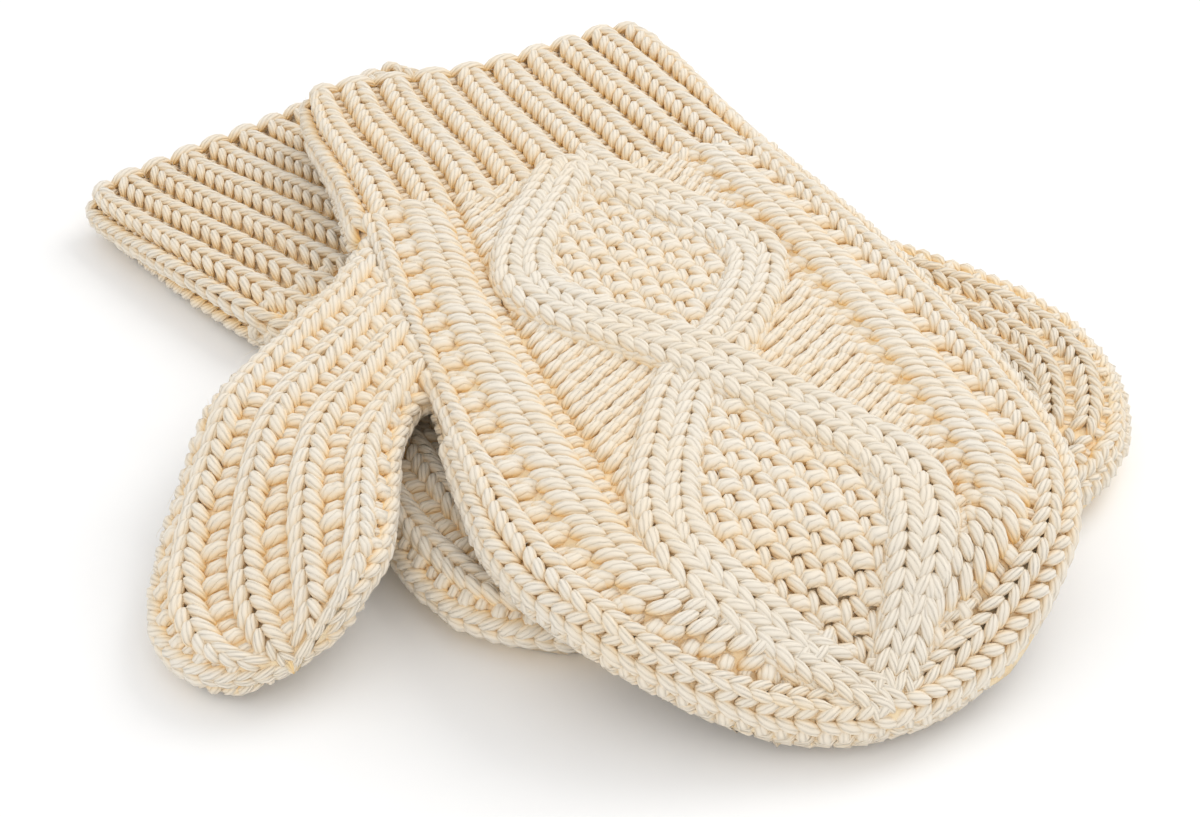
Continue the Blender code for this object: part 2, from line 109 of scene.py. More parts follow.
# Strands: s, and place across as a share of the half width.
OVER_STRAND = (
    (64, 0.05), (70, -0.02), (80, -0.14), (90, -0.26), (100, -0.355), (110, -0.40),
    (118, -0.385), (128, -0.305), (138, -0.185), (148, -0.07), (158, 0.03), (168, 0.11),
    (178, 0.19), (188, 0.275), (198, 0.35), (208, 0.38), (218, 0.36), (228, 0.30),
    (238, 0.19), (246, 0.06), (252, -0.02),
)
UNDER_STRAND = (
    (60, 0.07), (70, 0.13), (80, 0.20), (90, 0.29), (100, 0.375), (110, 0.44), (120, 0.46),
    (130, 0.375), (140, 0.26), (148, 0.15), (156, -0.01), (164, -0.13), (174, -0.22),
    (184, -0.31), (194, -0.385), (204, -0.44), (214, -0.455), (224, -0.41), (234, -0.30),
    (243, -0.18), (250, -0.06), (254, -0.02),
)


def ease(x: Array) -> Array:
    """A step from 0 to 1 with no kink at its ends."""
    x = np.clip(x, 0.0, 1.0)
    return x * x * x * (x * (6 * x - 15) + 10)


def unit(v: Array) -> Array:
    """Vectors scaled to length 1."""
    return v / np.maximum(np.linalg.norm(v, axis=-1, keepdims=True), 1e-9)


def smooth(values: Array, span: int) -> Array:
    """A row of numbers averaged over span neighbours."""
    return np.convolve(np.pad(values, span // 2, mode="edge"), np.full(span, 1 / span), "valid")


def run_along(s: Array, t: Array) -> Array:
    """Length of a line up to each of its points."""
    return np.concatenate([[0.0], np.cumsum(np.hypot(np.diff(s), np.diff(t)))])


def pressed(points: Array, normal: Array) -> Array:
    """A surface's points, those of its underside laid flat on the table."""
    under = normal[..., 2] < -0.9
    return np.concatenate([points[..., :2], np.where(under, 0.2, points[..., 2])[..., None]], -1)


def crowd(half_width: Array) -> Array:
    """Size of the stitches where a hand is this wide, as a share of their full size."""
    return np.clip(half_width / WIDE, SMALLEST, LARGEST)


class Side(Enum):
    """Which side of a flat mitten a panel is."""

    TOP = 1
    UNDER = -1


# ---------------------------------------------------------------- where the knitting lies


@dataclass
class Mitten:
    """The layout of one mitten: its centreline, widths and cast-on edge.

    Attributes:
        name: which of the pair it is, as its nodes' names begin.
        start: where the middle of its cast-on edge lies, in the layout.
        heading: direction of the centreline in degrees, by s.
        outline: its widths, as in UPPER_OUTLINE.
        edge: its cast-on edge, as in UPPER_EDGE.
        beneath: the mitten that it lies on.
    """

    name: str
    start: tuple[float, float]
    heading: tuple[tuple[float, float], ...]
    outline: tuple[tuple[float, float, float], ...]
    edge: tuple[tuple[float, float], ...]
    beneath: "Mitten | None" = None

    def __post_init__(self) -> None:
        """Works out the centreline from the start and the heading."""
        self.shape = np.array(self.outline, float)
        self.rim = np.array(self.edge, float)
        self.length = float(self.shape[-1, 0])
        self.s = np.arange(-20.0, self.length + 20, 0.5)
        at, turn = np.array(self.heading, float).T
        self.turn = smooth(np.interp(self.s, at, np.radians(turn)), 41)
        steps = 0.5 * np.stack([np.cos(self.turn), np.sin(self.turn)], 1)
        line = np.cumsum(steps, axis=0)
        self.line = line - line[np.argmin(abs(self.s))] + self.start

    def centre(self, s: Array) -> Array:
        """Points of the centreline."""
        return np.stack([np.interp(s, self.s, self.line[:, k]) for k in (0, 1)], -1)

    def width(self, s: Array) -> Array:
        """Half width of the knitted pattern."""
        return np.interp(s, self.shape[:, 0], self.shape[:, 1])

    def side(self, s: Array, thumb: Array) -> Array:
        """Distance of a side from the centreline, on the thumb's side or the other."""
        return self.width(s) - np.interp(s, self.shape[:, 0], self.shape[:, 2]) * thumb

    def bed(self, below: str = "lower_back_cloth") -> tuple[str, ...]:
        """What its pieces rest on: the mitten beneath, or else the piece named."""
        return ("lower_palm_cloth",) if self.beneath else (below,)

    def cast_on(self, s: Array, t: Array) -> Array:
        """How far the slanting cast-on edge shifts a point of the cuff."""
        shift = np.interp(t / self.width(s), self.rim[:, 0], self.rim[:, 1])
        return shift * ease(1 - s / CUFF_LENGTH)

    def rest(self, flat: Array, s: Array) -> Array:
        """Height that the mitten's underside lies at: the table, or the mitten beneath.

        Args:
            flat: places on the table.
            s: their places along the mitten.

        Returns:
            The heights.
        """
        if self.beneath is None:
            return np.zeros(flat.shape[:-1])
        under = self.beneath
        # How gently it bends down past them: more gently near the cuff than near the tip.
        stretch = np.interp(s, [85, 135], [150, 56])
        clear = np.ones(flat.shape[:-1])
        # The mitten beneath and its thumb, as round-ended stretches: start, end and radius.
        for start, end, radius in (
            (under.centre(0.0), under.centre(62.0), 52.0),
            (under.centre(62.0), under.centre(120.0), 55.5),
            (under.centre(120.0), under.centre(196.0), 55.5),
            (under.centre(196.0), under.centre(206.0), 50.0),
            ((-74.0, 24.0), (-11.0, -68.0), 21.5),
        ):
            start, along = np.array(start, float), np.subtract(end, start)
            share = np.clip((flat - start) @ along / (along @ along), 0.0, 1.0)
            away = np.linalg.norm(flat - (start + share[..., None] * along), axis=-1)
            clear = clear * ease((away - radius) / stretch)
        return LIE * (1 - clear)

    def place(self, s: Array, t: Array, z: Array) -> Array:
        """World points for places on the mitten.

        Args:
            s: places along it.
            t: places across it.
            z: heights over what it rests on.

        Returns:
            The points, in mm.
        """
        s, t, z = np.broadcast_arrays(s, t, z)
        turn = np.interp(s, self.s, self.turn)
        flat = self.centre(s) + t[..., None] * np.stack([-np.sin(turn), np.cos(turn)], -1)
        up = z + self.rest(flat, s)
        return np.concatenate([flat - MIDDLE, up[..., None]], -1)

    def rim_line(self, start: float, thumb: float | None = None) -> tuple[Array, Array]:
        """The outline of one side and half of the tip, as places along and across.

        Args:
            start: its first s.
            thumb: 1 for the thumb's side, 0 for the other, None for the pattern's width.

        Returns:
            Places along, and places across as lengths from the middle.
        """
        end = self.length + 0.6
        s = np.arange(start, end, 0.25)
        t = self.width(s) if thumb is None else self.side(s, np.full(s.shape, thumb))
        cap = np.arange(t[-1], -0.01, -0.25)
        s, t = np.concatenate([s, np.full(len(cap), end)]), np.concatenate([t, cap])
        return smooth(s, 25), smooth(t, 25)

    def tip_round(self, s: Array) -> Array:
        """Half the thickness that is left near the tip."""
        left = np.clip((self.length + 0.8 - s) / (HALF + 2.5), 0.0, 1.0)
        return HALF * np.sqrt(np.clip(1 - (1 - left) ** 2, 0.0, 1.0))


def stadium(share: Array, half_width: Array, half_height: Array) -> tuple[Array, Array]:
    """Places on a flattened ring, at shares of its length from one end over the top.

    Args:
        share: shares of the ring's length.
        half_width: half its width.
        half_height: half its height, and the radius of its ends.

    Returns:
        Places across and heights, from the ring's middle.
    """
    arc, flat = math.pi / 2 * half_height, 2 * (half_width - half_height)
    run = (share % 1.0) * (4 * arc + 2 * flat)
    below = run > 2 * arc + flat
    run = np.where(below, run - 2 * arc - flat, run)
    first, last = run / half_height, (run - arc - flat) / half_height
    x = np.where(
        run < arc,
        -half_width + half_height * (1 - np.cos(first)),
        np.where(
            run < arc + flat,
            run - arc - half_width + half_height,
            half_width - half_height * (1 - np.sin(last)),
        ),
    )
    z = np.where(
        run < arc,
        half_height * np.sin(first),
        np.where(run < arc + flat, half_height, half_height * np.cos(last)),
    )
    sign = np.where(below, -1.0, 1.0)
    return sign * x, sign * z


class Ground:
    """A surface that stitches lie on, with s along it and u round it, in mm."""

    out: float = 1.0

    def base(self, s: Array, u: Array) -> Array:
        """World points of the bare surface.

        Args:
            s: places along it, in mm.
            u: places round it, in mm.

        Returns:
            The points, in mm.
        """
        raise NotImplementedError

    def lay(self, s: Array, u: Array, h: Array) -> tuple[Array, Array]:
        """Points at a height h over the surface.

        Args:
            s: place along the knitting.
            u: place round it.
            h: height over the ribs' tops, outwards.

        Returns:
            The points and the outward directions there.
        """
        s, u, h = np.broadcast_arrays(s, u, h)
        step = 0.7
        along = self.base(s + step, u) - self.base(s - step, u)
        across = self.base(s, u + step) - self.base(s, u - step)
        normal = unit(np.cross(along, across)) * self.out
        return self.base(s, u) + normal * h[..., None], normal


@dataclass
class HandSide(Ground):
    """The back or the palm of a hand, round to the middle of its sides.

    Attributes:
        mitten: the mitten that it belongs to.
        face: whether it lies on top or below.
    """

    mitten: Mitten
    face: Side

    def __post_init__(self) -> None:
        """Turns the surface's outside to the face's side."""
        self.out = float(self.face.value)

    def bend(self, s: Array, sign: Array) -> tuple[Array, Array]:
        """Where a side begins to turn down, and the radius of its turn.

        Args:
            s: places along the hand.
            sign: the side, below zero for the thumb's.

        Returns:
            Distances from the centreline, and the radii.
        """
        side = self.mitten.side(s, np.where(sign < 0, 1.0, 0.0))
        radius = np.minimum(HALF, 0.8 * side)
        return side - radius, radius

    def reach(self, s: Array, sign: Array) -> Array:
        """Length across the knitting from the centreline to the middle of a side."""
        flat, radius = self.bend(s, sign)
        return flat + radius * math.pi / 2

    def inset(self, sign: int, share: float, start: float) -> tuple[Array, Array]:
        """A line that keeps its distance from the outline, round to the tip.

        Args:
            sign: the side that it is on.
            share: its place across where the hand is wide, as a share of the half width.
            start: its first s.

        Returns:
            Its places along and across.
        """
        rim_s, rim_t = self.mitten.rim_line(start - 4)
        step_s, step_t = np.gradient(rim_s), np.gradient(rim_t)
        long = np.maximum(np.hypot(step_s, step_t), 1e-6)
        away = (1 - share) * WIDE * crowd(self.mitten.width(rim_s))
        s, t = rim_s + step_t / long * away, rim_t - step_s / long * away
        nearest = np.hypot(s[:, None] - rim_s, t[:, None] - rim_t).min(axis=1)
        kept = (nearest > 0.96 * away) & (t > 0.8) & (s > start)
        s, t = s[kept], t[kept]
        apart = np.hypot(np.diff(s, append=s[-1:]), np.diff(t, append=t[-1:]))
        stop = (s < np.maximum.accumulate(s) - 0.4) | (apart > 4.0)
        last = int(np.argmax(np.append(stop, True)))
        s, t = s[:last], t[:last]
        run = run_along(s, t)
        even = np.arange(0.0, run[-1], 0.5)
        s, t = (smooth(np.interp(even, run, a), 9) for a in (s, t))
        flat, radius = self.bend(s, sign)
        bent = flat + radius * np.arcsin(np.clip((t - flat) / radius, 0.0, 1.0))
        return s, sign * np.where(t < flat, t, bent)

    def base(self, s: Array, u: Array) -> Array:
        """World points of the bare surface.

        Args:
            s: places along it, in mm.
            u: places round it, in mm.

        Returns:
            The points, in mm.
        """
        s = np.clip(s, 0.0, self.mitten.length + 0.8)
        flat, radius = self.bend(s, u)
        turn = np.clip((np.abs(u) - flat) / radius, 0.0, math.pi / 2 + 0.4)
        t = np.sign(u) * (np.minimum(np.abs(u), flat) + radius * np.sin(turn))
        z = HALF + self.out * self.mitten.tip_round(s) * np.cos(turn)
        return self.mitten.place(s, t, z)

    def plain(self, rows: int, columns: int, low: Callable[[Array, Array], Array]) -> Array:
        """The ground between the stitches, inside the outline all the way round the tip.

        Args:
            rows: number of rows, closer together near the tip.
            columns: number of columns across.
            low: gives the height of the ground for places on it, below zero.

        Returns:
            A grid of world points, rows by columns.
        """
        end = self.mitten.length + 0.75
        start = CUFF_LENGTH + 0.4
        s = start + (end - start) * np.sin(np.linspace(0, math.pi / 2, rows))[:, None]
        share = np.linspace(-1, 1, columns)[None, :]
        u = share * self.reach(s, np.sign(share)) * (1 - 0.4 * ease((s - end + 4) / 4))
        points = self.base(s, u)
        normal = unit(np.cross(np.gradient(points, axis=0), np.gradient(points, axis=1)))
        return points + normal * self.out * low(s, u)[..., None]


class Edge(Ground):
    """The rounded edge of a hand: s runs along its outline, and u goes up over it."""

    def __init__(self, mitten: Mitten, sign: int, start: float) -> None:
        """Takes one side's outline, round to the middle of the tip.

        Args:
            mitten: the mitten that it belongs to.
            sign: the side, -1 for the thumb's.
            start: its first s.
        """
        self.mitten, self.sign, self.out = mitten, sign, -float(sign)
        self.at, self.across = mitten.rim_line(start, 1.0 if sign < 0 else 0.0)
        self.run = run_along(self.at, self.across)
        step_s, step_t = np.gradient(self.at), np.gradient(self.across)
        long = np.maximum(np.hypot(step_s, step_t), 1e-6)
        self.outward = -step_t / long, step_s / long

    def rows(self, step: float) -> Array:
        """Places of stitches along it, one row apart."""
        return np.arange(0.0, self.run[-1] - 2.0, step)

    def base(self, s: Array, u: Array) -> Array:
        """World points of the bare surface.

        Args:
            s: places along it, in mm.
            u: places round it, in mm.

        Returns:
            The points, in mm.
        """
        at, across, out_s, out_t = (
            np.interp(s, self.run, a) for a in (self.at, self.across, *self.outward)
        )
        back = HALF * (1 - np.cos(u / HALF))
        past = np.clip(s - self.run[-1], 0.0, None)
        across = across - out_t * back - past * out_s
        return self.mitten.place(
            at - out_s * back, self.sign * across, HALF + HALF * np.sin(u / HALF)
        )


class Column(Ground):
    """The ground along a line of a surface: s is the length along it and u across it."""

    def __init__(self, ground: Ground, at: Array, across: Array) -> None:
        """Takes the line, and finds its directions on the surface.

        Args:
            ground: the surface.
            at: the line's s on it.
            across: the line's u on it.
        """
        self.ground, self.out = ground, ground.out
        self.at, self.across = at, across
        line = ground.base(at, across)
        step = np.linalg.norm(np.diff(line, axis=0), axis=1)
        self.run = np.concatenate([[0.0], np.cumsum(np.maximum(step, 1e-6))])
        small = 0.4
        long = ground.base(at + small, across) - ground.base(at - small, across)
        wide = ground.base(at, across + small) - ground.base(at, across - small)
        long = np.maximum(np.linalg.norm(long, axis=1) / small / 2, 0.3)
        self.wide = np.maximum(np.linalg.norm(wide, axis=1) / small / 2, 0.05)
        ahead_s, ahead_u = (smooth(np.gradient(a, self.run), 5) for a in (at, across))
        size = np.maximum(np.hypot(long * ahead_s, self.wide * ahead_u), 1e-6)
        self.ahead = ahead_s / size, ahead_u / size
        self.aside = -self.wide * ahead_u / size / long, long * ahead_s / size / self.wide

    def rows(self, step: float, room: float = 1.5) -> tuple[Array, Array, Array]:
        """Places of stitches along the line.

        Args:
            step: length of one row.
            room: length left free at the end.

        Returns:
            The places along the line, and their s and u on the surface.
        """
        at = np.arange(0.0, self.run[-1] - room, step)
        middle = at + 0.6 * step
        return at, np.interp(middle, self.run, self.at), np.interp(middle, self.run, self.across)

    def base(self, s: Array, u: Array) -> Array:
        """World points of the bare surface.

        Args:
            s: places along it, in mm.
            u: places round it, in mm.

        Returns:
            The points, in mm.
        """
        past = np.clip(s - self.run[-1], 0, None) + np.clip(s, None, 0)
        names = (self.at, self.across, *self.ahead, *self.aside)
        at, across, ahead_s, ahead_u, aside_s, aside_u = (
            np.interp(s, self.run, values) for values in names
        )
        return self.ground.base(
            at + past * ahead_s + u * aside_s, across + past * ahead_u + u * aside_u
        )


@dataclass
class CuffRound(Ground):
    """The outside of a cuff, all round, from the thumb side's edge over the top.

    Attributes:
        mitten: the mitten that it belongs to.
        ribs_over, ribs_under: ribs on top and below.
        girth: its length round.
    """

    mitten: Mitten
    ribs_over: int
    ribs_under: int
    girth: float = 240.0

    def rib(self, k: Array) -> Array:
        """Place of a rib round the cuff.

        Args:
            k: the rib's number, from the thumb's side over the top.

        Returns:
            The place, in mm.
        """
        over = k / self.ribs_over / 2
        under = 0.5 + (k - self.ribs_over) / self.ribs_under / 2
        return np.where(k <= self.ribs_over, over, under) * self.girth

    def base(self, s: Array, u: Array) -> Array:
        """World points of the bare surface.

        Args:
            s: places along it, in mm.
            u: places round it, in mm.

        Returns:
            The points, in mm.
        """
        lean = CUFF_LEAN / 4.4 * ease(s / CUFF_LENGTH * 0.8 + 0.1)
        x, z = stadium(u / self.girth + lean, self.mitten.width(s), HALF)
        return self.mitten.place(s + self.mitten.cast_on(s, x), x, HALF + z)


@dataclass
class ThumbRound(Ground):
    """The outside of a thumb, all round, with s from its seam to its tip.

    Attributes:
        mitten: the mitten that it belongs to.
        sections: its sections from the seam to the tip, as in UPPER_THUMB.
        girth: its length round.
    """

    mitten: Mitten
    sections: tuple[tuple[float, float, float, float, float], ...]
    girth: float = 110.0

    def __post_init__(self) -> None:
        """Works out even sections along the thumb from the table."""
        table = np.array(self.sections, float)
        middle = (table[:, 0:2] + table[:, 2:4]) / 2
        steps = np.linalg.norm(np.diff(middle, axis=0), axis=1)
        at = np.concatenate([[0], np.cumsum(steps)])
        self.length = float(at[-1])
        self.s = np.arange(0.0, self.length + 0.01, 0.5)
        self.table = np.stack([smooth(np.interp(self.s, at, c), 9) for c in table.T], 1)
        self.table[-1] = table[-1]

    def base(self, s: Array, u: Array) -> Array:
        """World points of the bare surface.

        Args:
            s: places along it, in mm.
            u: places round it, in mm.

        Returns:
            The points, in mm.
        """
        s = np.clip(s, 0.0, self.length)
        sa, ta, sb, tb, half = (np.interp(s, self.s, c) for c in self.table.T)
        reach = np.hypot(sb - sa, tb - ta) / 2
        x, z = stadium(u / self.girth, reach, np.minimum(half, 0.93 * reach))
        along = (x / reach + 1) / 2
        low = half if self.mitten.beneath is None else HALF
        return self.mitten.place(sa + (sb - sa) * along, ta + (tb - ta) * along, low + z)

    def narrow(self, s: Array) -> Array:
        """How far the thumb has narrowed, as a share of its full girth."""
        sa, ta, sb, tb, _ = (np.interp(s, self.s, c) for c in self.table.T)
        return np.clip(np.hypot(sb - sa, tb - ta) / 2 / THUMB_REACH, 0.15, 1.15)


# ---------------------------------------------------------------- yarn


def tube_faces(rings: int, sides: int) -> tuple[Array, Array, Array, Array]:
    """Faces of one tube, with a pole at each end.

    Args:
        rings: rings of points along it.
        sides: points round a ring.

    Returns:
        Point, share round the tube and ring of each corner, and each face's corner count.
    """
    ring, k = (a.ravel() for a in np.mgrid[0 : rings - 1, 0:sides])
    here, ahead, after = ring * sides, (ring + 1) * sides, (k + 1) % sides
    quads = np.stack([here + k, ahead + k, ahead + after, here + after], 1)
    quad_v = np.stack([k, k, k + 1, k + 1], 1) / sides
    quad_ring = np.stack([ring, ring + 1, ring + 1, ring], 1)
    k = np.arange(sides)
    after, pole = (k + 1) % sides, np.full(sides, rings * sides)
    last = (rings - 1) * sides
    start, start_v = np.stack([pole, k, after], 1), np.stack([k + 0.5, k, k + 1], 1) / sides
    end = np.stack([pole + 1, last + after, last + k], 1)
    end_v = np.stack([k + 0.5, k + 1, k], 1) / sides
    corners = np.concatenate([quads.ravel(), start.ravel(), end.ravel()])
    v = np.concatenate([quad_v.ravel(), start_v.ravel(), end_v.ravel()])
    at = np.concatenate(
        [quad_ring.ravel(), np.zeros(3 * sides, int), np.full(3 * sides, rings - 1)]
    )
    return corners, v, at, np.array([4] * len(quads) + [3] * (2 * sides))


@dataclass
class Pile:
    """Yarn tubes gathered for one piece, all made as one mesh.

    Attributes:
        name: of the piece.
        points: places of the tubes' points, one table for each spin.
        depths: how far each point lies below its tube's own top.
        corners, totals: points of the faces' corners, and corners of each face.
        places: of each corner, length along the yarn, share round it, share along it and
            number of its tube.
        tubes: number of tubes so far.
        count: number of points so far.
    """

    name: str
    points: list = field(default_factory=list)
    depths: list = field(default_factory=list)
    corners: list = field(default_factory=list)
    totals: list = field(default_factory=list)
    places: list = field(default_factory=list)
    tubes: int = 0
    count: int = 0

    def spin(
        self,
        ground: Ground,
        s: Array,
        u: Array,
        h: Array,
        radius: Array,
        sides: int = 7,
        press: float = 1.0,
        loose: bool = False,
    ) -> None:
        """Adds one tube along each row of places.

        Args:
            ground: the surface that the places are on.
            s, u, h: places of the tubes' middle lines, one row each.
            radius: the tubes' radii at those places, or one row for all.
            sides: faces round a tube.
            press: how thick a tube is outwards, as a share of its width.
            loose: whether it is one stray fibre, with no plies.
        """
        s, u, h, radius = np.broadcast_arrays(s, u, h, radius)
        if not s.size:
            return
        # Small seeded shifts along, across and outwards, a slant, and a change of width.
        luck = np.random.default_rng(SEED + self.tubes).normal(size=(5, len(s), 1))
        luck = np.clip(luck, -2.0, 2.0) * min(1.0, float(radius.max()))
        s, u, h = s + 0.17 * luck[0], u + 0.15 * luck[1], h + 0.12 * luck[2]
        s = s + 0.12 * luck[3] * np.linspace(-1, 1, s.shape[1])
        radius = radius * (1 + 0.045 * luck[4])
        line, normal = ground.lay(s, u, h)
        number, rings, _ = line.shape
        along = unit(np.gradient(line, axis=1))
        side = unit(np.cross(along, normal))
        up = np.cross(side, along)
        turn = 2 * math.pi * np.arange(sides) / sides
        ring = (
            side[:, :, None] * np.sin(turn)[None, None, :, None]
            - up[:, :, None] * np.cos(turn)[None, None, :, None] * press
        )
        points = line[:, :, None] + ring * radius[:, :, None, None]
        ends = [
            line[:, 0] - along[:, 0] * radius[:, 0, None] * 0.6,
            line[:, -1] + along[:, -1] * radius[:, -1, None] * 0.6,
        ]
        points = np.concatenate(
            [points.reshape(number, rings * sides, 3), ends[0][:, None], ends[1][:, None]], 1
        )
        points[..., 2] = np.maximum(points[..., 2], LEAST_HEIGHT)
        top = h + radius * press
        # Depth below the tube's own top, read by the wool for its painted golden gap shade and its
        # ply bump; stray fibres get a large depth that keeps both off them.
        sunk = h - 0.75 * top.max(axis=1, keepdims=True) + LOOSE_DEPTH * loose
        rise = sunk[:, :, None] - radius[:, :, None] * np.cos(turn) * press
        depth = np.concatenate(
            [rise.reshape(number, rings * sides), sunk[:, :1], sunk[:, -1:]], 1
        )
        step = np.linalg.norm(np.diff(line, axis=1), axis=2)
        run = np.concatenate([np.zeros((number, 1)), np.cumsum(step, axis=1)], 1)
        # Each tube's plies start at a place of their own along the yarn.
        run = run + np.random.default_rng(SEED + self.tubes).random((number, 1)) * 40
        first = self.count + np.arange(number) * (rings * sides + 2)
        local, v, at, totals = tube_faces(rings, sides)
        self.points.append(points.reshape(-1, 3))
        self.depths.append(depth.ravel())
        self.corners.append((first[:, None] + local[None, :]).ravel())
        self.totals.append(np.tile(totals, number))
        length = run[:, at]
        whole = (run[:, -1:] - run[:, :1]) + 1e-6
        cell = self.tubes + np.arange(number)
        self.places.append(
            np.stack(
                [
                    length,
                    np.broadcast_to(v, length.shape),
                    (length - run[:, :1]) / whole,
                    np.broadcast_to(cell[:, None], length.shape),
                ],
                -1,
            ).reshape(-1, 4)
        )
        self.count += number * (rings * sides + 2)
        self.tubes += number

    def make(self, material: bpy.types.Material) -> bpy.types.Object:
        """Makes the piece.

        Args:
            material: the wool that it wears.

        Returns:
            The new object, riding on the root body.
        """
        mesh = bpy.data.meshes.new(self.name)
        points = np.concatenate(self.points) * MM
        corners, totals = np.concatenate(self.corners), np.concatenate(self.totals)
        mesh.vertices.add(len(points))
        mesh.vertices.foreach_set("co", points.astype(np.float32).ravel())
        mesh.loops.add(len(corners))
        mesh.polygons.add(len(totals))
        starts = np.concatenate([[0], np.cumsum(totals)[:-1]])
        mesh.polygons.foreach_set("loop_start", starts.astype(np.int32))
        mesh.polygons.foreach_set("vertices", corners.astype(np.int32))
        mesh.update(calc_edges=True)
        mesh.shade_smooth()
        places = np.concatenate(self.places)
        yarn = mesh.uv_layers.new(name="Yarn")
        yarn.uv.foreach_set("vector", places[:, :2].astype(np.float32).ravel())
        grid = math.ceil(math.sqrt(self.tubes))
        cell_x, cell_y = places[:, 3] % grid, places[:, 3] // grid
        own = np.stack(
            [
                (cell_x + 0.06 + 0.88 * places[:, 2]) / grid,
                (cell_y + 0.06 + 0.88 * places[:, 1]) / grid,
            ],
            1,
        )
        bake = mesh.uv_layers.new(name="OFBake")
        bake.uv.foreach_set("vector", own.astype(np.float32).ravel())
        depth = mesh.attributes.new("depth", "FLOAT", "POINT")
        depth.data.foreach_set("value", np.concatenate(self.depths).astype(np.float32))
        mesh.materials.append(material)
        piece = bpy.data.objects.new(self.name, mesh)
        bpy.context.scene.collection.objects.link(piece)
        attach(piece, "root")
        faces = int((totals - 2).sum())
        log.info("%s: %d tubes, %d triangles", self.name, self.tubes, faces)
        return piece


def spindle(rings: int, blunt: float = 0.5) -> tuple[Array, Array]:
    """A plump length of yarn, with its rings closer near its ends.

    Args:
        rings: number of rings.
        blunt: how slowly it thins towards its ends, less for blunter ones.

    Returns:
        The rings' shares along it, and the radius there as a share of its full radius.
    """
    k = (1 - np.cos(np.linspace(0.06, 0.94, rings) * math.pi)) / 2
    k = (k - k[0]) / (k[-1] - k[0])
    swell = (1 - np.abs(2 * k - 1) ** 2.6 * 0.93) ** blunt
    return k, swell


@dataclass(frozen=True)
class Vee:
    """A V stitch: two legs that part from a point towards the tip.

    Attributes:
        long: length of a leg along the column.
        inner, outer: distance of a leg's ends from the middle of the column.
        radius: half the width of the yarn.
        press: thickness of the yarn outwards, as a share of its width.
        crown: how far the column falls away at its sides.
        rise: height of the yarn's middle line at its highest.
        start_dip, end_dip: how far a leg's ends go down into the knitting.
        sides, rings: faces round a leg and along it.
    """

    long: float = 5.2
    inner: float = 0.2
    outer: float = 3.6
    radius: float = 1.45
    press: float = 1.3
    crown: float = 0.8
    rise: float = -1.8
    start_dip: float = 0.9
    end_dip: float = 1.2
    sides: int = 7
    rings: int = 7

    def knit(
        self, pile: Pile, ground: Ground, s: Array, u: Array, size: Array, high: Array
    ) -> None:
        """Adds a stitch at each place.

        Args:
            pile: where the yarn goes.
            ground: the surface that it is laid on.
            s, u: places of the V's points.
            size: how wide each stitch is, as a share of its full size.
            high: height over the ribs' tops.
        """
        s, u, size, high = (np.atleast_1d(np.asarray(a, float)) for a in (s, u, size, high))
        s, u, size, high = np.broadcast_arrays(s, u, size, high)
        k, swell = spindle(self.rings)
        size = size[:, None]
        for sign in (-1, 1):
            off = self.inner + (self.outer - self.inner) * k
            dip = self.start_dip * (1 - k) ** 3 + self.end_dip * k**4
            fall = self.crown * (off / self.outer) ** 3
            pile.spin(
                ground,
                s[:, None] + self.long * k,
                u[:, None] + sign * off * size,
                high[:, None] + self.rise - (dip + fall) * np.sqrt(size),
                self.radius * swell * size**0.7,
                self.sides,
                self.press,
            )


@dataclass(frozen=True)
class Bump:
    """A purl bump: a short arch of yarn across the knitting.

    Attributes:
        half: half its length across.
        radius: of the yarn.
        rise: height of the yarn's middle line at its highest.
        dip: how far its ends go down.
        bow: how far its ends bend towards the tip.
        lean: how far it slants, as a share of its length.
        sides, rings: faces round it and along it.
    """

    half: float = 2.7
    radius: float = 1.6
    rise: float = -2.0
    dip: float = 1.8
    bow: float = 0.7
    lean: float = 0.0
    sides: int = 7
    rings: int = 6

    def knit(
        self, pile: Pile, ground: Ground, s: Array, u: Array, size: Array, high: Array
    ) -> None:
        """Adds a bump at each place.

        Args:
            pile, ground, s, u, size, high: as in Vee.knit.
        """
        s, u, size, high = (np.atleast_1d(np.asarray(a, float)) for a in (s, u, size, high))
        s, u, size, high = np.broadcast_arrays(s, u, size, high)
        k, swell = spindle(self.rings)
        x = 2 * k - 1
        pile.spin(
            ground,
            s[:, None] + self.bow * x**2 + self.lean * self.half * x,
            u[:, None] + self.half * x * size[:, None],
            high[:, None] + self.rise - self.dip * x**2,
            self.radius * swell * size[:, None] ** 0.6,
            self.sides,
        )


@dataclass(frozen=True)
class Fuzz:
    """Fine stray fibres that stand out of the yarn.

    Attributes:
        number: of fibres.
        longest: length of the longest, in mm.
        radius: of a fibre.
    """

    number: int = 500
    longest: float = 6.0
    radius: float = 0.055

    def strew(self, pile: Pile, ground: Ground, s: tuple, u: tuple) -> None:
        """Adds the fibres over a stretch of ground.

        Args:
            pile: where the fibres go.
            ground: the surface that they stand on.
            s, u: the stretch's two ends along and across.
        """
        luck = np.random.default_rng(SEED + self.number + pile.tubes)
        k = np.linspace(0, 1, 5)[None, :]
        at, across = luck.uniform(*s, (self.number, 1)), luck.uniform(*u, (self.number, 1))
        long = self.longest * luck.uniform(0.3, 1.0, (self.number, 1))
        way = luck.uniform(0, 2 * math.pi, (self.number, 1))
        way = way + luck.normal(0, 0.9, (self.number, 1)) * k
        lift = luck.uniform(-0.2, 0.45, (self.number, 1)) * long
        pile.spin(
            ground,
            at + np.cumsum(np.cos(way) * long / 5, axis=1),
            across + np.cumsum(np.sin(way) * long / 5, axis=1),
            -0.9 + lift * k * (1.6 - 0.6 * k),
            self.radius * (1 - 0.75 * k),
            3,
            loose=True,
        )


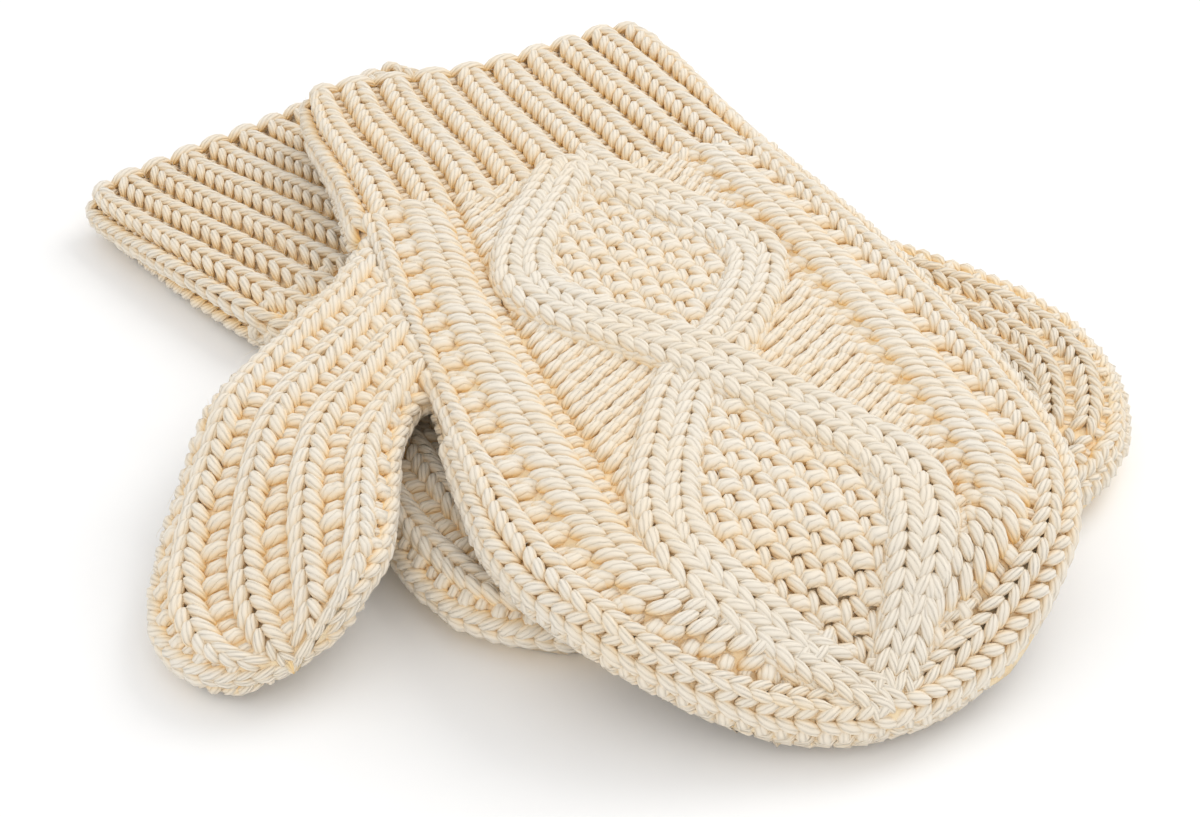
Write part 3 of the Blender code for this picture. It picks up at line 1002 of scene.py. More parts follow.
@dataclass(frozen=True)
class Turn:
    """Two rows of a twisted rope: a round bead and two pairs of long slanting legs.

    Attributes:
        lengths: of each length of yarn, places across at its two ends, places along at its
            two ends, its height and its radius.
        rise: height of the yarn's middle line.
        round_side: how far the rope falls away at its sides.
        press: thickness of the yarn outwards, as a share of its width.
        sides, rings: faces round a length and along it.
    """

    lengths: tuple[tuple[float, float, float, float, float, float], ...] = (
        (-7.2, -3.2, -0.6, 3.6, -0.4, 2.1),
        (-4.9, 1.0, 0.2, 4.6, 0.9, 1.6),
        (-4.2, 1.2, 4.1, 8.5, 0.8, 1.6),
        (0.0, 6.6, 1.4, 6.6, 0.7, 1.6),
        (0.2, 6.4, 5.3, 10.5, 0.6, 1.6),
    )
    rise: float = -1.1
    round_side: float = 2.8
    press: float = 1.25
    sides: int = 8
    rings: int = 8

    def knit(
        self, pile: Pile, ground: Ground, s: Array, u: Array, size: Array, high: Array
    ) -> None:
        """Adds the two rows at each place.

        Args:
            pile, ground, s, u, size, high: as in Vee.knit.
        """
        k, swell = spindle(self.rings)
        size = np.asarray(size, float)[:, None]
        for across, far, along, ahead, lift, radius in self.lengths:
            off = across + (far - across) * k
            fall = self.round_side * np.abs(off / 7.0) ** 2.5
            dip = 1.0 * (1 - k) ** 3 + 1.2 * k**3
            pile.spin(
                ground,
                s[:, None] + along + (ahead - along) * k,
                u[:, None] + off * size,
                high[:, None] + (self.rise + lift - fall - dip) * size,
                radius * swell * size**0.6,
                self.sides,
                self.press,
            )


# ---------------------------------------------------------------- shaders


class Value:
    """A shader socket that takes arithmetic: an expression adds its Math nodes."""

    def __init__(self, graph: "Graph", socket: bpy.types.NodeSocket) -> None:
        """Wraps an output socket of the graph."""
        self.graph, self.socket = graph, socket

    def math(self, kind: str, *others: "Value | float") -> "Value":
        """This value and others put through one Math node."""
        inputs = dict(enumerate((self, *others)))
        return self.graph.make("ShaderNodeMath", {"operation": kind}, inputs)

    def __add__(self, other: "Value | float") -> "Value":
        """Sum."""
        return self.math("ADD", other)

    __radd__ = __add__

    def __mul__(self, other: "Value | float") -> "Value":
        """Product."""
        return self.math("MULTIPLY", other)

    __rmul__ = __mul__

    def __sub__(self, other: "Value | float") -> "Value":
        """Difference."""
        return self.math("SUBTRACT", other)

    def __rsub__(self, other: float) -> "Value":
        """Difference, turned round."""
        return self * -1.0 + other

    def __pow__(self, other: float) -> "Value":
        """Power."""
        return self.math("POWER", other)

    def clamped(self) -> "Value":
        """The value kept from 0 to 1."""
        return self.math("MINIMUM", 1.0).math("MAXIMUM", 0.0)


class Graph:
    """The node tree of one material."""

    def __init__(self, name: str) -> None:
        """Makes the material, with its shader ready.

        Args:
            name: the material's name.
        """
        self.material = bpy.data.materials.new(name)
        self.material.use_nodes = True
        self.tree = self.material.node_tree
        self.shader = self.tree.nodes["Principled BSDF"]

    def make(
        self,
        kind: str,
        settings: dict | None = None,
        inputs: dict | None = None,
        output: int | str = 0,
    ) -> Value:
        """Makes a node.

        Args:
            kind: the node's type.
            settings: set first, such as a Math node's operation.
            inputs: values or links of its sockets, by name or number.
            output: the socket that is returned.

        Returns:
            That socket.
        """
        node = self.tree.nodes.new(kind)
        for name, value in (settings or {}).items():
            setattr(node, name, value)
        for name, value in (inputs or {}).items():
            self.put(node.inputs[name], value)
        return Value(self, node.outputs[output])

    def put(self, socket: bpy.types.NodeSocket, value: "Value | float | tuple") -> None:
        """Links a value to a socket, or sets the socket's own number.

        Args:
            socket: an input.
            value: what it gets.
        """
        if isinstance(value, Value):
            self.tree.links.new(value.socket, socket)
        else:
            socket.default_value = value

    def mix(self, share: Value, one: "Value | tuple", two: "Value | tuple") -> Value:
        """A colour between two, by a share from 0 to 1."""
        settings = {"data_type": "RGBA", "clamp_factor": True}
        return self.make("ShaderNodeMix", settings, {0: share, 6: one, 7: two}, 2)

    def noise(self, where: Value, scale: float, detail: float = 2.0) -> Value:
        """Soft noise, about 0 to 1."""
        inputs = {"Vector": where, "Scale": scale, "Detail": detail, "Roughness": 0.55}
        return self.make("ShaderNodeTexNoise", {}, inputs, "Fac")

    def finish(self, constants: dict[str, object], varying: dict[str, Value]) -> None:
        """Sets the shader's sockets.

        Args:
            constants: values set on the sockets themselves, by name.
            varying: values that are linked to them, by name.
        """
        for name, value in constants.items():
            self.shader.inputs[name].default_value = value
        for name, value in varying.items():
            self.put(self.shader.inputs[name], value)


@dataclass(frozen=True)
class Wool:
    """Plied cream wool: twisted strands, fine fibres, painted golden shade in the gaps and ply
    grooves.

    Attributes:
        light, cream: colours that change from patch to patch.
        painted_gap_shade: painted golden shade down between the stitches, stronger the deeper a
            point lies.
        plies: number of plies.
        twist: length of yarn in mm in which a ply goes once round.
        groove: depth of the grooves between plies, in metres.
        deep: how far below a stitch's own top the painted gap shade is warmest, in mm.
        sheen: strength of the soft light on the fibres.
    """

    light: tuple = (0.845, 0.795, 0.710, 1.0)
    cream: tuple = (0.860, 0.745, 0.580, 1.0)
    # Painted shade: the golden colour given to the gaps between the stitches.
    painted_gap_shade: tuple = (1.000, 0.670, 0.260, 1.0)
    plies: int = 7
    twist: float = 27.0
    groove: float = 0.00024
    deep: float = 2.7
    sheen: float = 0.35

    def material(self, name: str) -> bpy.types.Material:
        """Makes the material, which reads the yarn's own map.

        Args:
            name: its name.

        Returns:
            The material.
        """
        g = Graph(name)
        uv = g.make("ShaderNodeUVMap", {"uv_map": "Yarn"})
        run = g.make("ShaderNodeSeparateXYZ", {}, {0: uv}, "X")
        turn = g.make("ShaderNodeSeparateXYZ", {}, {0: uv}, "Y")
        phase = turn * self.plies - run * (self.plies / self.twist)
        place = g.make("ShaderNodeTexCoord", {}, {}, "Object")
        wobble = g.noise(place, 420.0, 1.0)
        ply = ((phase + wobble * 0.35) * math.pi).math("SINE").math("ABSOLUTE")
        fibre_at = g.make(
            "ShaderNodeCombineXYZ", {}, {0: phase * 3.2, 1: run * 0.55, 2: wobble * 2.0}
        )
        fibre = g.noise(fibre_at, 1.0, 3.0)
        depth = g.make("ShaderNodeAttribute", {"attribute_name": "depth"}, {}, "Fac")
        height = (ply**0.65 + fibre * 0.45) * depth.math("LESS_THAN", MOST_DEPTH)
        bump = g.make(
            "ShaderNodeBump", {}, {"Strength": 1.0, "Distance": self.groove, "Height": height}
        )
        # Painted shade: the share of golden gap shade grows the deeper a point lies below its
        # stitch's top.
        sunk = (depth * (-1.0 / self.deep) - 0.10).clamped()
        patch = g.noise(place, 38.0, 2.0)
        # Painted shade: the grooves between the plies, where the bump sinks, are coloured darker
        # cream, mixed below with random fibre tone.
        painted_groove_shade = (1 - ply) ** 3.0
        shade = g.mix((patch * 1.6 - 0.35).clamped(), self.light, self.cream)
        shade = g.mix((painted_groove_shade * 0.30 + fibre * 0.10).clamped(), shade, self.cream)
        # Painted shade: deep parts, and the ply grooves there most, turn golden and darker.
        colour = g.mix((sunk**1.3 * 0.9 + painted_groove_shade * sunk * 0.25).clamped(), shade, self.painted_gap_shade)
        constants = {
            "Sheen Weight": self.sheen,
            "Sheen Roughness": 0.45,
            "Sheen Tint": (1.0, 0.96, 0.88, 1.0),
            "Specular IOR Level": 0.3,
        }
        rough = 0.72 - fibre * 0.12
        g.finish(constants, {"Base Color": colour, "Roughness": rough, "Normal": bump})
        return g.material


@dataclass(frozen=True)
class InnerKnit:
    """The knitting's ground between the stitches: rough wool in golden colours, painted shade of
    the deep gaps between the stitches.

    Attributes:
        light, painted_hollow_shade: colours of the loops' tops and of the gaps between them; both
            are golden painted shade of the deep ground, and the second is darker painted shade in
            the gaps.
    """

    # Both colours are golden painted shade for the deep ground between the stitches.
    light: tuple = (0.93, 0.79, 0.56, 1.0)
    painted_hollow_shade: tuple = (0.89, 0.67, 0.39, 1.0)

    def material(self, name: str) -> bpy.types.Material:
        """Makes the material on Object coordinates.

        Args:
            name: its name.

        Returns:
            The material.
        """
        g = Graph(name)
        place = g.make("ShaderNodeTexCoord", {}, {}, "Object")
        loops = g.make(
            "ShaderNodeTexVoronoi", {"feature": "F1"}, {"Vector": place, "Scale": 260.0}, 0
        )
        fibre = g.noise(place, 1400.0, 3.0)
        height = (1 - loops) + fibre * 0.4
        bump = g.make("ShaderNodeBump", {}, {"Strength": 1.0, "Distance": 0.0009, "Height": height})
        # Painted shade: darker where the distance to a loop's middle is large, in the hollows that
        # the bump sinks, with random fibre tone.
        colour = g.mix((loops * 1.1 + fibre * 0.3 - 0.2).clamped(), self.light, self.painted_hollow_shade)
        g.finish(
            {"Sheen Weight": 0.3, "Sheen Roughness": 0.5, "Specular IOR Level": 0.3},
            {"Base Color": colour, "Roughness": 0.85 - fibre * 0.1, "Normal": bump},
        )
        return g.material


# ---------------------------------------------------------------- the pieces


@dataclass
class Cloth:
    """The thin knitted ground of a piece, made from a grid of its surface.

    Attributes:
        name: of the piece.
        node: the solid that it replaces.
        flat: its size laid out, in metres; not used.
        rests_on: what it lies on; not used.
        area: of its cut in square metres, where that isn't the whole flat size; not used.
        wall: its thickness in mm.
    """

    name: str
    node: str
    flat: tuple[float, float]
    rests_on: tuple[str, ...]
    area: float | None = None
    wall: float = 1.4

    def make(
        self, points: Array, ring: bool, turned: bool, material: bpy.types.Material
    ) -> bpy.types.Object:
        """Makes the cloth.

        Args:
            points: a grid of world points in mm, outside, rows by columns.
            ring: whether the last column meets the first.
            turned: whether the grid's own faces point inwards.
            material: what it wears.

        Returns:
            The new object, in its solid's place.
        """
        rows, columns = points.shape[:2]
        index = np.arange(rows * columns).reshape(rows, columns)
        if ring:
            index = np.concatenate([index, index[:, :1]], 1)
        quads = np.stack([index[:-1, :-1], index[1:, :-1], index[1:, 1:], index[:-1, 1:]], -1)
        if turned:
            quads = quads[..., ::-1]
        mesh = bpy.data.meshes.new(self.name)
        mesh.from_pydata((points.reshape(-1, 3) * MM).tolist(), [], quads.reshape(-1, 4).tolist())
        mesh.materials.append(material)
        piece = bpy.data.objects.new(self.name, mesh)
        bpy.context.scene.collection.objects.link(piece)
        bpy.ops.object.select_all(action="DESELECT")
        piece.select_set(True)
        bpy.context.view_layer.objects.active = piece
        wall = piece.modifiers.new("wall", "SOLIDIFY")
        wall.thickness = self.wall * MM
        wall.offset = -1.0
        bpy.ops.object.modifier_apply(modifier="wall")
        places = np.empty(3 * len(mesh.vertices), np.float32)
        mesh.vertices.foreach_get("co", places)
        places[2::3] = np.maximum(places[2::3], LEAST_HEIGHT * MM)
        mesh.vertices.foreach_set("co", places)
        mesh.shade_smooth()
        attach(piece, "root")
        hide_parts(self.node)
        return piece


@dataclass
class Cuff:
    """A 1 x 1 rib cuff: raised V columns with purl bumps between them, all round.

    Attributes:
        mitten: the mitten that it belongs to.
        ribs_over, ribs_under: ribs on top and below.
        flat_below: whether its underside is pressed flat on the table.
        wool, inner: materials of the stitches and of the cloth.
    """

    mitten: Mitten
    ribs_over: int
    ribs_under: int
    flat_below: bool
    wool: bpy.types.Material
    inner: bpy.types.Material

    def build(self) -> None:
        """Makes the cloth and its stitches."""
        name = f"{self.mitten.name}_cuff"
        ground = CuffRound(self.mitten, self.ribs_over, self.ribs_under)
        ribs = self.ribs_over + self.ribs_under
        pile = Pile(f"{name}_stitches")
        pitch = CUFF_WIDTH / self.ribs_over
        rows = np.arange(0, 18)
        vee = Vee(
            long=5.6, inner=0.01 * pitch, outer=0.385 * pitch, radius=0.138 * pitch, crown=1.1,
            end_dip=1.4,
        )
        purl = Bump(half=0.17 * pitch, radius=0.13 * pitch, rise=-4.2, dip=0.6, bow=0.3)
        for k in range(ribs):
            if self.flat_below and self.ribs_over + 1.8 < k < ribs - 1.8:
                continue
            at = ground.rib(np.array(float(k)))
            after = ground.rib(np.array(float(k + 1))) if k + 1 < ribs else ground.girth
            s = 0.8 + rows * ROW
            vee.knit(pile, ground, s, at, 1.0, 0.0)
            if not (self.flat_below and self.ribs_over < k < ribs - 1):
                purl.knit(pile, ground, s + 1.5, (at + after) / 2, 1.0, 0.0)
            self.cast_on(pile, ground, at, pitch)
        Fuzz(400).strew(pile, ground, (2.0, CUFF_LENGTH), (0.0, 0.5 * ground.girth))
        stitches = pile.make(self.wool)
        columns = ribs * 6
        k = np.arange(columns) / 6
        u = ground.rib(k)
        s = np.linspace(1.4, CUFF_LENGTH, 18)
        sink = -3.1 - 1.7 * ease(np.abs((k + 0.5) % 1.0 - 0.5) * 2)
        points, normal = ground.lay(s[:, None], u[None, :], sink[None, :])
        if self.flat_below:
            points = pressed(points, normal)
        cloth = Cloth(f"{name}_cloth", name, (0.236, 0.070), self.mitten.bed())
        piece = cloth.make(points, ring=True, turned=False, material=self.inner)

    def cast_on(self, pile: Pile, ground: Ground, at: float, pitch: float) -> None:
        """Adds the cast-on edge of one rib: two loops of yarn over its end.

        Args:
            pile: where the yarn goes.
            ground: the cuff's surface.
            at: the rib's place round it.
            pitch: distance from one rib to the next.
        """
        k, swell = spindle(8, 0.3)
        x = 2 * k - 1
        for s, high, reach in ((0.4, -1.5, 0.52), (-0.3, -3.4, 0.5)):
            pile.spin(
                ground,
                (s + 0.5 * x**2)[None],
                (at + reach * pitch * x)[None],
                (high - 1.9 * np.abs(x) ** 2.5)[None],
                (1.5 * swell)[None],
            )


@dataclass
class Back:
    """A cabled back panel: diamonds of moss between two strands, ropes and columns.

    Attributes:
        mitten: the mitten that it is the back of.
        wool, inner: materials of the stitches and of the cloth.
        over, under: places of the two strands, by s, as shares of the half width.
        field_pitch: distance between the field's columns, as a share of the half width.
        crossing: s where the strands cross.
        close_moss: s past which the field comes closer to the strands.
        under_low: s up to which the under strand lies lower than the other.
        over_ends: s past which the over strand stops where it meets the other.
        under_whole: s past which the under strand passes over the other.
    """

    mitten: Mitten
    wool: bpy.types.Material
    inner: bpy.types.Material
    over: tuple = OVER_STRAND
    under: tuple = UNDER_STRAND
    field_pitch: float = 0.0909
    crossing: float = 152.0
    close_moss: float = 222.0
    under_low: float = 225.0
    over_ends: float = 232.0
    under_whole: float = 234.0

    def __post_init__(self) -> None:
        """Takes the top of the hand as its ground."""
        self.hand = HandSide(self.mitten, Side.TOP)

    def strand(self, s: Array, table: tuple) -> Array:
        """Place across of a strand's middle.

        Args:
            s: places along the hand.
            table: the strand's places, as in OVER_STRAND.

        Returns:
            The places across, in mm.
        """
        at, share = np.array(table, float).T
        even = smooth(np.interp(self.mitten.s, at, share), 13)
        return np.interp(s, self.mitten.s, even) * self.mitten.width(s)

    def away(self, s: Array, u: Array, table: tuple) -> Array:
        """Distance across from a strand's middle."""
        slope = (self.strand(s + 2, table) - self.strand(s - 2, table)) / 4
        return (u - self.strand(s, table)) / np.hypot(1, slope)

    def column(self, share: float, start: float, end: float) -> Column:
        """The line of a column at a share of the half width."""
        s = np.arange(start, end, 0.25)
        return Column(self.hand, s, share * self.mitten.width(s))

    def build(self) -> None:
        """Makes the cloth and its stitches."""
        name = f"{self.mitten.name}_back"
        stitches, cables = Pile(f"{name}_stitches"), Pile(f"{name}_cables")
        self.field(stitches)
        self.sides(stitches)
        self.strands(cables)
        self.ropes(cables)
        fuzz = Fuzz(700)
        fuzz.strew(stitches, self.hand, (CUFF_LENGTH, 246.0), (-60.0, 60.0))
        made = [stitches.make(self.wool), cables.make(self.wool)]
        points = self.hand.plain(70, 81, self.sink)
        cloth = Cloth(
            f"{name}_cloth", name, (0.146, 0.186), (f"{self.mitten.name}_palm_cloth",), 0.0236
        )
        piece = cloth.make(points, ring=False, turned=False, material=self.inner)

    def sink(self, s: Array, u: Array) -> Array:
        """Height of the plain ground between the stitches.

        Args:
            s, u: places on the hand.

        Returns:
            The heights, below the stitches' tops.
        """
        s, u = np.broadcast_arrays(s, u)
        rise = np.zeros(s.shape)
        for table in (self.over, self.under):
            rise = np.maximum(rise, 2.6 * np.clip(1 - (self.away(s, u, table) / 6.0) ** 2, 0, 1))
        rim_s, rim_t = self.mitten.rim_line(CUFF_LENGTH - 6)
        apart = np.hypot(s[..., None] - rim_s, np.abs(u)[..., None] - rim_t)
        size = crowd(self.mitten.width(rim_s))[np.argmin(apart, axis=-1)]
        from_rope = apart.min(axis=-1) / size - (1 - ROPE_AT) * WIDE
        beside = ease((np.abs(u) - 8) / 6)
        rise = np.maximum(rise, 2.3 * np.clip(1 - (from_rope / 7.0) ** 2, 0, 1) * beside)
        edge = self.hand.reach(s, np.sign(u)) - np.abs(u)
        low = np.maximum(-3.6 + rise, -2.3 - 0.40 * self.mitten.tip_round(s))
        return low * (0.6 + 0.4 * ease(edge / 9))

    def field(self, pile: Pile) -> None:
        """Purl arcs between the ropes, two to a stitch, and moss inside the diamonds.

        Args:
            pile: where the yarn goes.
        """
        arc = Bump(half=3.0, radius=1.6, rise=-2.6, dip=1.4, bow=0.0, lean=-0.5)
        seed = Bump(half=3.2, radius=2.2, rise=-1.8, dip=1.9, bow=1.5, lean=0.25)
        knot = Vee(long=5.2, inner=0.8, outer=2.7, radius=1.6, crown=0.3, rise=-2.2, end_dip=1.2)
        for k in range(-6, 7):
            column = self.column(k * self.field_pitch, CUFF_LENGTH - 2, 247.0)
            at, s, u = column.rows(ROW)
            width = self.mitten.width(s)
            narrow = np.clip(width / WIDE, 0.5, LARGEST)
            over, under = self.strand(s, self.over), self.strand(s, self.under)
            off = np.minimum(
                np.abs(self.away(s, u, self.over)), np.abs(self.away(s, u, self.under))
            )
            rope = width - (1 - ROPE_AT) * WIDE * crowd(width)
            clear = (5.2 - 1.6 * (s > self.close_moss)) * narrow
            free = (off > clear) & (np.abs(u) < rope - 7.5 * narrow)
            free &= (narrow > 0.66) | (k % 2 == 0)
            inside = (u > np.minimum(over, under)) & (u < np.maximum(over, under))
            plain, moss = free & ~inside, free & inside
            arc.knit(pile, column, at[plain] + 1, 0.0, narrow[plain], 0.0)
            arc.knit(pile, column, at[plain] + 3, 2.7 * narrow[plain], narrow[plain], 0.2)
            purl = moss & ((np.arange(len(at)) + k) % 2 == 0)
            knit = moss & ~purl
            seed.knit(pile, column, at[purl] + 2.0, 0.0, narrow[purl], 0.0)
            knot.knit(pile, column, at[knit], 0.0, narrow[knit], 0.0)

    def sides(self, pile: Pile) -> None:
        """V columns along the sides, with purl gutters and ladders beside the ropes.

        Args:
            pile: where the yarn goes.
        """
        vee = Vee(outer=3.2, crown=0.9, rise=-1.6)
        purl = Bump(half=2.4, radius=1.7, rise=-3.0, dip=0.9, bow=0.4)
        bar = Bump(half=3.2, radius=2.1, rise=-2.6, dip=1.6, bow=0.5, lean=0.3)
        low = Bump(half=3.0, radius=1.6, rise=-3.6, dip=0.7, bow=0.4, lean=0.3)
        for sign in (-1, 1):
            column = Column(self.hand, *self.hand.inset(sign, COLUMN_AT, CUFF_LENGTH - 1))
            at, s, _ = column.rows(ROW)
            vee.knit(pile, column, at, 0.0, crowd(self.mitten.width(s)), 0.0)
            gutter = Column(self.hand, *self.hand.inset(sign, GUTTER_AT, CUFF_LENGTH))
            at, s, _ = gutter.rows(ROW)
            purl.knit(pile, gutter, at + 1, 0.0, crowd(self.mitten.width(s)), 0.0)
            ladder = Column(self.hand, *self.hand.inset(sign, LADDER_AT, CUFF_LENGTH + 1))
            at, s, _ = ladder.rows(2 * ROW)
            bar.knit(pile, ladder, at, 0.0, crowd(self.mitten.width(s)), 0.0)
            low.knit(pile, ladder, at + ROW, 0.0, crowd(self.mitten.width(s)), 0.0)
            edge = Edge(self.mitten, sign, GUSSET_END if sign < 0 else CUFF_LENGTH - 1)
            at = edge.rows(ROW)
            vee.knit(pile, edge, at, 4.0, 1.0, 0.2)
            purl.knit(pile, edge, at + 1.5, 0.0, 1.0, 0.9)

    def strands(self, pile: Pile) -> None:
        """The two cable strands, each of two V columns, crossing in the middle.

        Args:
            pile: where the yarn goes.
        """
        vee = Vee(
            long=6.0, outer=3.4, radius=1.65, press=1.2, crown=0.2, end_dip=1.0, sides=8, rings=8
        )
        wall = Vee(
            long=6.8, inner=-0.6, outer=0.9, radius=1.6, crown=0.3, rise=-3.4, start_dip=0.4,
            end_dip=0.9, rings=6,
        )
        for table, raised in ((self.over, True), (self.under, False)):
            first, last = table[0][0] + 1.0, self.mitten.length + 0.4
            along = np.arange(first, last, 0.25)
            path = Column(self.hand, along, self.strand(along, table))
            at, s, u = path.rows(step=4.1, room=4.6)
            narrow = np.clip(self.mitten.width(s) / 58, 0.55, 1.0)
            lift = 2.1 * ease((s - first + 4) / 9)
            if raised:
                lift = lift + 1.0 * np.exp(-(((s - self.crossing) / 11) ** 2))
                keep = np.abs(u - self.strand(s, self.under)) > 5.5
                keep |= s < self.over_ends
            else:
                keep = np.abs(u - self.strand(s, self.over)) > 6.6
                keep |= (s < CUFF_LENGTH + 4) | (s > self.under_whole)
                lift = lift - 0.5 * (s < self.under_low)
            lift = lift * np.clip(narrow * 1.2, 0.4, 1.0)
            at, narrow, lift = at[keep], narrow[keep], lift[keep]
            for sign in (-1, 1):
                vee.knit(pile, path, at, sign * 3.2 * narrow, narrow, lift - 0.25)
                wall.knit(pile, path, at + 1.5, sign * 6.2 * narrow, narrow, lift - 0.6)

    def ropes(self, pile: Pile) -> None:
        """The twisted ropes beside the ladders.

        Args:
            pile: where the yarn goes.
        """
        turn = Turn()
        for sign in (-1, 1):
            rope = Column(self.hand, *self.hand.inset(sign, ROPE_AT, CUFF_LENGTH - 1.5))
            at, s, _ = rope.rows(step=7.85, room=8.0)
            turn.knit(pile, rope, at, np.zeros(len(at)), crowd(self.mitten.width(s)), 0 * at)


@dataclass
class Palm:
    """A broken-rib palm panel: raised V columns with recessed seed columns between.

    Attributes:
        mitten: the mitten that it belongs to.
        face: whether it lies on top or below.
        wool, inner: materials of the stitches and of the cloth.
        coarse: whether its stitches have few faces, because little of it shows.
    """

    mitten: Mitten
    face: Side
    wool: bpy.types.Material
    inner: bpy.types.Material
    coarse: bool = False

    def build(self) -> None:
        """Makes the cloth and its stitches."""
        name = f"{self.mitten.name}_palm"
        hand = HandSide(self.mitten, self.face)
        pile = Pile(f"{name}_stitches")
        count = 5 if self.coarse else 6
        vee = Vee(long=6.2, outer=4.1, radius=1.4, crown=1.8, end_dip=1.5, sides=count, rings=count)
        seed = Bump(half=2.9, radius=1.9, rise=-3.0, dip=1.1, bow=0.9, sides=count)
        small = Bump(half=2.3, radius=1.5, rise=-3.9, dip=0.9, bow=0.6, sides=count)
        start = CUFF_LENGTH - 0.5
        for sign in (-1, 1):
            core = 3 * PALM_PITCH / WIDE
            core_s, core_u = hand.inset(sign, core, start)
            for k in range(11):
                share = k / 2 * PALM_PITCH / WIDE
                if k == 0 and sign < 0:
                    continue
                if k > 5:
                    column = Column(hand, *hand.inset(sign, share, start))
                else:
                    column = Column(hand, core_s, core_u * share / core)
                at, s, _ = column.rows(ROW)
                narrow = crowd(self.mitten.width(s))
                if k < 6:
                    tight = np.abs(np.interp(s, core_s, core_u)) / core / WIDE
                    narrow = np.minimum(narrow, np.maximum(tight, 0.5))
                    free = (tight > 0.6) | (k % 2 == 1)
                    at, narrow = at[free], narrow[free]
                if k % 2:
                    vee.knit(pile, column, at, 0.0, narrow, 0.0)
                    continue
                even = np.arange(len(at)) % 2 == 0
                seed.knit(pile, column, at[even] + 1, 0.0, narrow[even], 0.0)
                small.knit(pile, column, at[~even] + 1, 0.0, narrow[~even], 0.0)
            edge = Edge(self.mitten, sign, start)
            at, up = edge.rows(ROW), 4.0 * self.face.value
            vee.knit(pile, edge, at, up, 0.95, 0.0)
            if self.face is Side.TOP:
                seed.knit(pile, edge, at + 1.5, 0.0, 0.9, 1.9)
        stitches = pile.make(self.wool)
        top = self.face is Side.TOP

        def low(s: Array, u: Array) -> Array:
            """Height of the cloth, less deep near the sides and the tip.

            Args:
                s, u: places on the hand.

            Returns:
                The heights, below the stitches' tops.
            """
            edge = hand.reach(s, np.sign(u)) - np.abs(u)
            deep = np.maximum(-3.3 if top else -4.4, -2.3 - 0.35 * self.mitten.tip_round(s))
            return deep * ((0.65 if top else 0.85) + 0.35 * ease(edge / 9))

        points = hand.plain(60, 61, low)
        area = 0.0236 if self.mitten.beneath else 0.0232
        cloth = Cloth(f"{name}_cloth", name, (0.146, 0.192), self.mitten.bed(), area)
        piece = cloth.make(points, ring=False, turned=not top, material=self.inner)


@dataclass
class FlatBack:
    """The lower mitten's back: pressed flat on the table, with V columns round its edge.

    Attributes:
        mitten: the mitten that it is the back of.
        wool, inner: materials of the stitches and of the cloth.
    """

    mitten: Mitten
    wool: bpy.types.Material
    inner: bpy.types.Material

    def build(self) -> None:
        """Makes the cloth and the stitches of its edge."""
        name = f"{self.mitten.name}_back"
        hand = HandSide(self.mitten, Side.UNDER)
        pile = Pile(f"{name}_stitches")
        vee = Vee(crown=0.5)
        for sign in (-1, 1):
            edge = Edge(self.mitten, sign, CUFF_LENGTH - 0.5)
            vee.knit(pile, edge, edge.rows(ROW), -4.0, 0.95, 0.0)
        stitches = pile.make(self.wool)

        def low(s: Array, u: Array) -> Array:
            """Height of the cloth, flat on the table and drawn in at the sides."""
            edge = hand.reach(s, np.sign(u)) - np.abs(u)
            return -0.2 - 3.0 * ease((12.5 - edge) / 7)

        points = hand.plain(60, 61, low)
        cloth = Cloth(f"{name}_cloth", name, (0.144, 0.190), ("table",), 0.0232)
        piece = cloth.make(points, ring=False, turned=True, material=self.inner)


@dataclass
class Thumb:
    """A thumb: ten V columns with seeds between them, drawn together at the tip.

    Attributes:
        mitten: the mitten that it belongs to.
        sections: its sections from the seam to the tip, as in UPPER_THUMB.
        flat_below: whether its underside is pressed flat on the table.
        wool, inner: materials of the stitches and of the cloth.
    """

    mitten: Mitten
    sections: tuple
    flat_below: bool
    wool: bpy.types.Material
    inner: bpy.types.Material

    def build(self) -> None:
        """Makes the cloth and its stitches."""
        name = f"{self.mitten.name}_thumb"
        ground = ThumbRound(self.mitten, self.sections)
        pile = Pile(f"{name}_stitches")
        vee = Vee(long=6.0, outer=3.5, radius=1.5, crown=1.4, start_dip=0.6, end_dip=1.3)
        seed = Bump(half=3.0, radius=1.95, rise=-2.9, dip=1.0, bow=0.8)
        small = Bump(half=2.5, radius=1.65, rise=-3.6, dip=0.9, bow=0.6)
        pitch = ground.girth / THUMB_RIBS
        along = np.arange(1.0, ground.length - 0.4, 0.25)
        for k in range(2 * THUMB_RIBS):
            if self.flat_below and 10.5 < k < 19.5:
                continue
            column = Column(ground, along, np.full(along.shape, k * pitch / 2))
            at, s, _ = column.rows(ROW, room=0.5)
            size = np.interp(s, along, column.wide)
            if k % 2 == 0:
                free = (size > 0.45) | ((size > 0.08) & (k % 4 == 0))
                vee.knit(pile, column, at[free], 0.0, np.clip(size, 0.55, 1.05)[free], 0.0)
                continue
            even = (size > 0.5) & (np.arange(len(at)) % 2 == 0)
            odd = (size > 0.5) & (np.arange(len(at)) % 2 == 1)
            seed.knit(pile, column, at[even] + 1, 0.0, size[even], 0.0)
            small.knit(pile, column, at[odd] + 1, 0.0, size[odd], 0.0)
        Fuzz(250).strew(pile, ground, (2.0, ground.length - 5), (0.0, 0.5 * ground.girth))
        stitches = pile.make(self.wool)
        u = np.linspace(0, 1, 60, endpoint=False) * ground.girth
        s = np.linspace(0.3, ground.length, 36)[:, None]
        sink = -1.8 - 1.6 * np.clip(ground.narrow(s) * 1.3 - 0.2, 0.0, 1.0)
        points, normal = ground.lay(s, u[None, :], sink)
        if self.flat_below:
            points = pressed(points, normal)
        cloth = Cloth(f"{name}_cloth", name, (0.110, 0.100), self.mitten.bed("table"), 0.0088)
        piece = cloth.make(points, ring=True, turned=False, material=self.inner)


# ---------------------------------------------------------------- table, light and camera


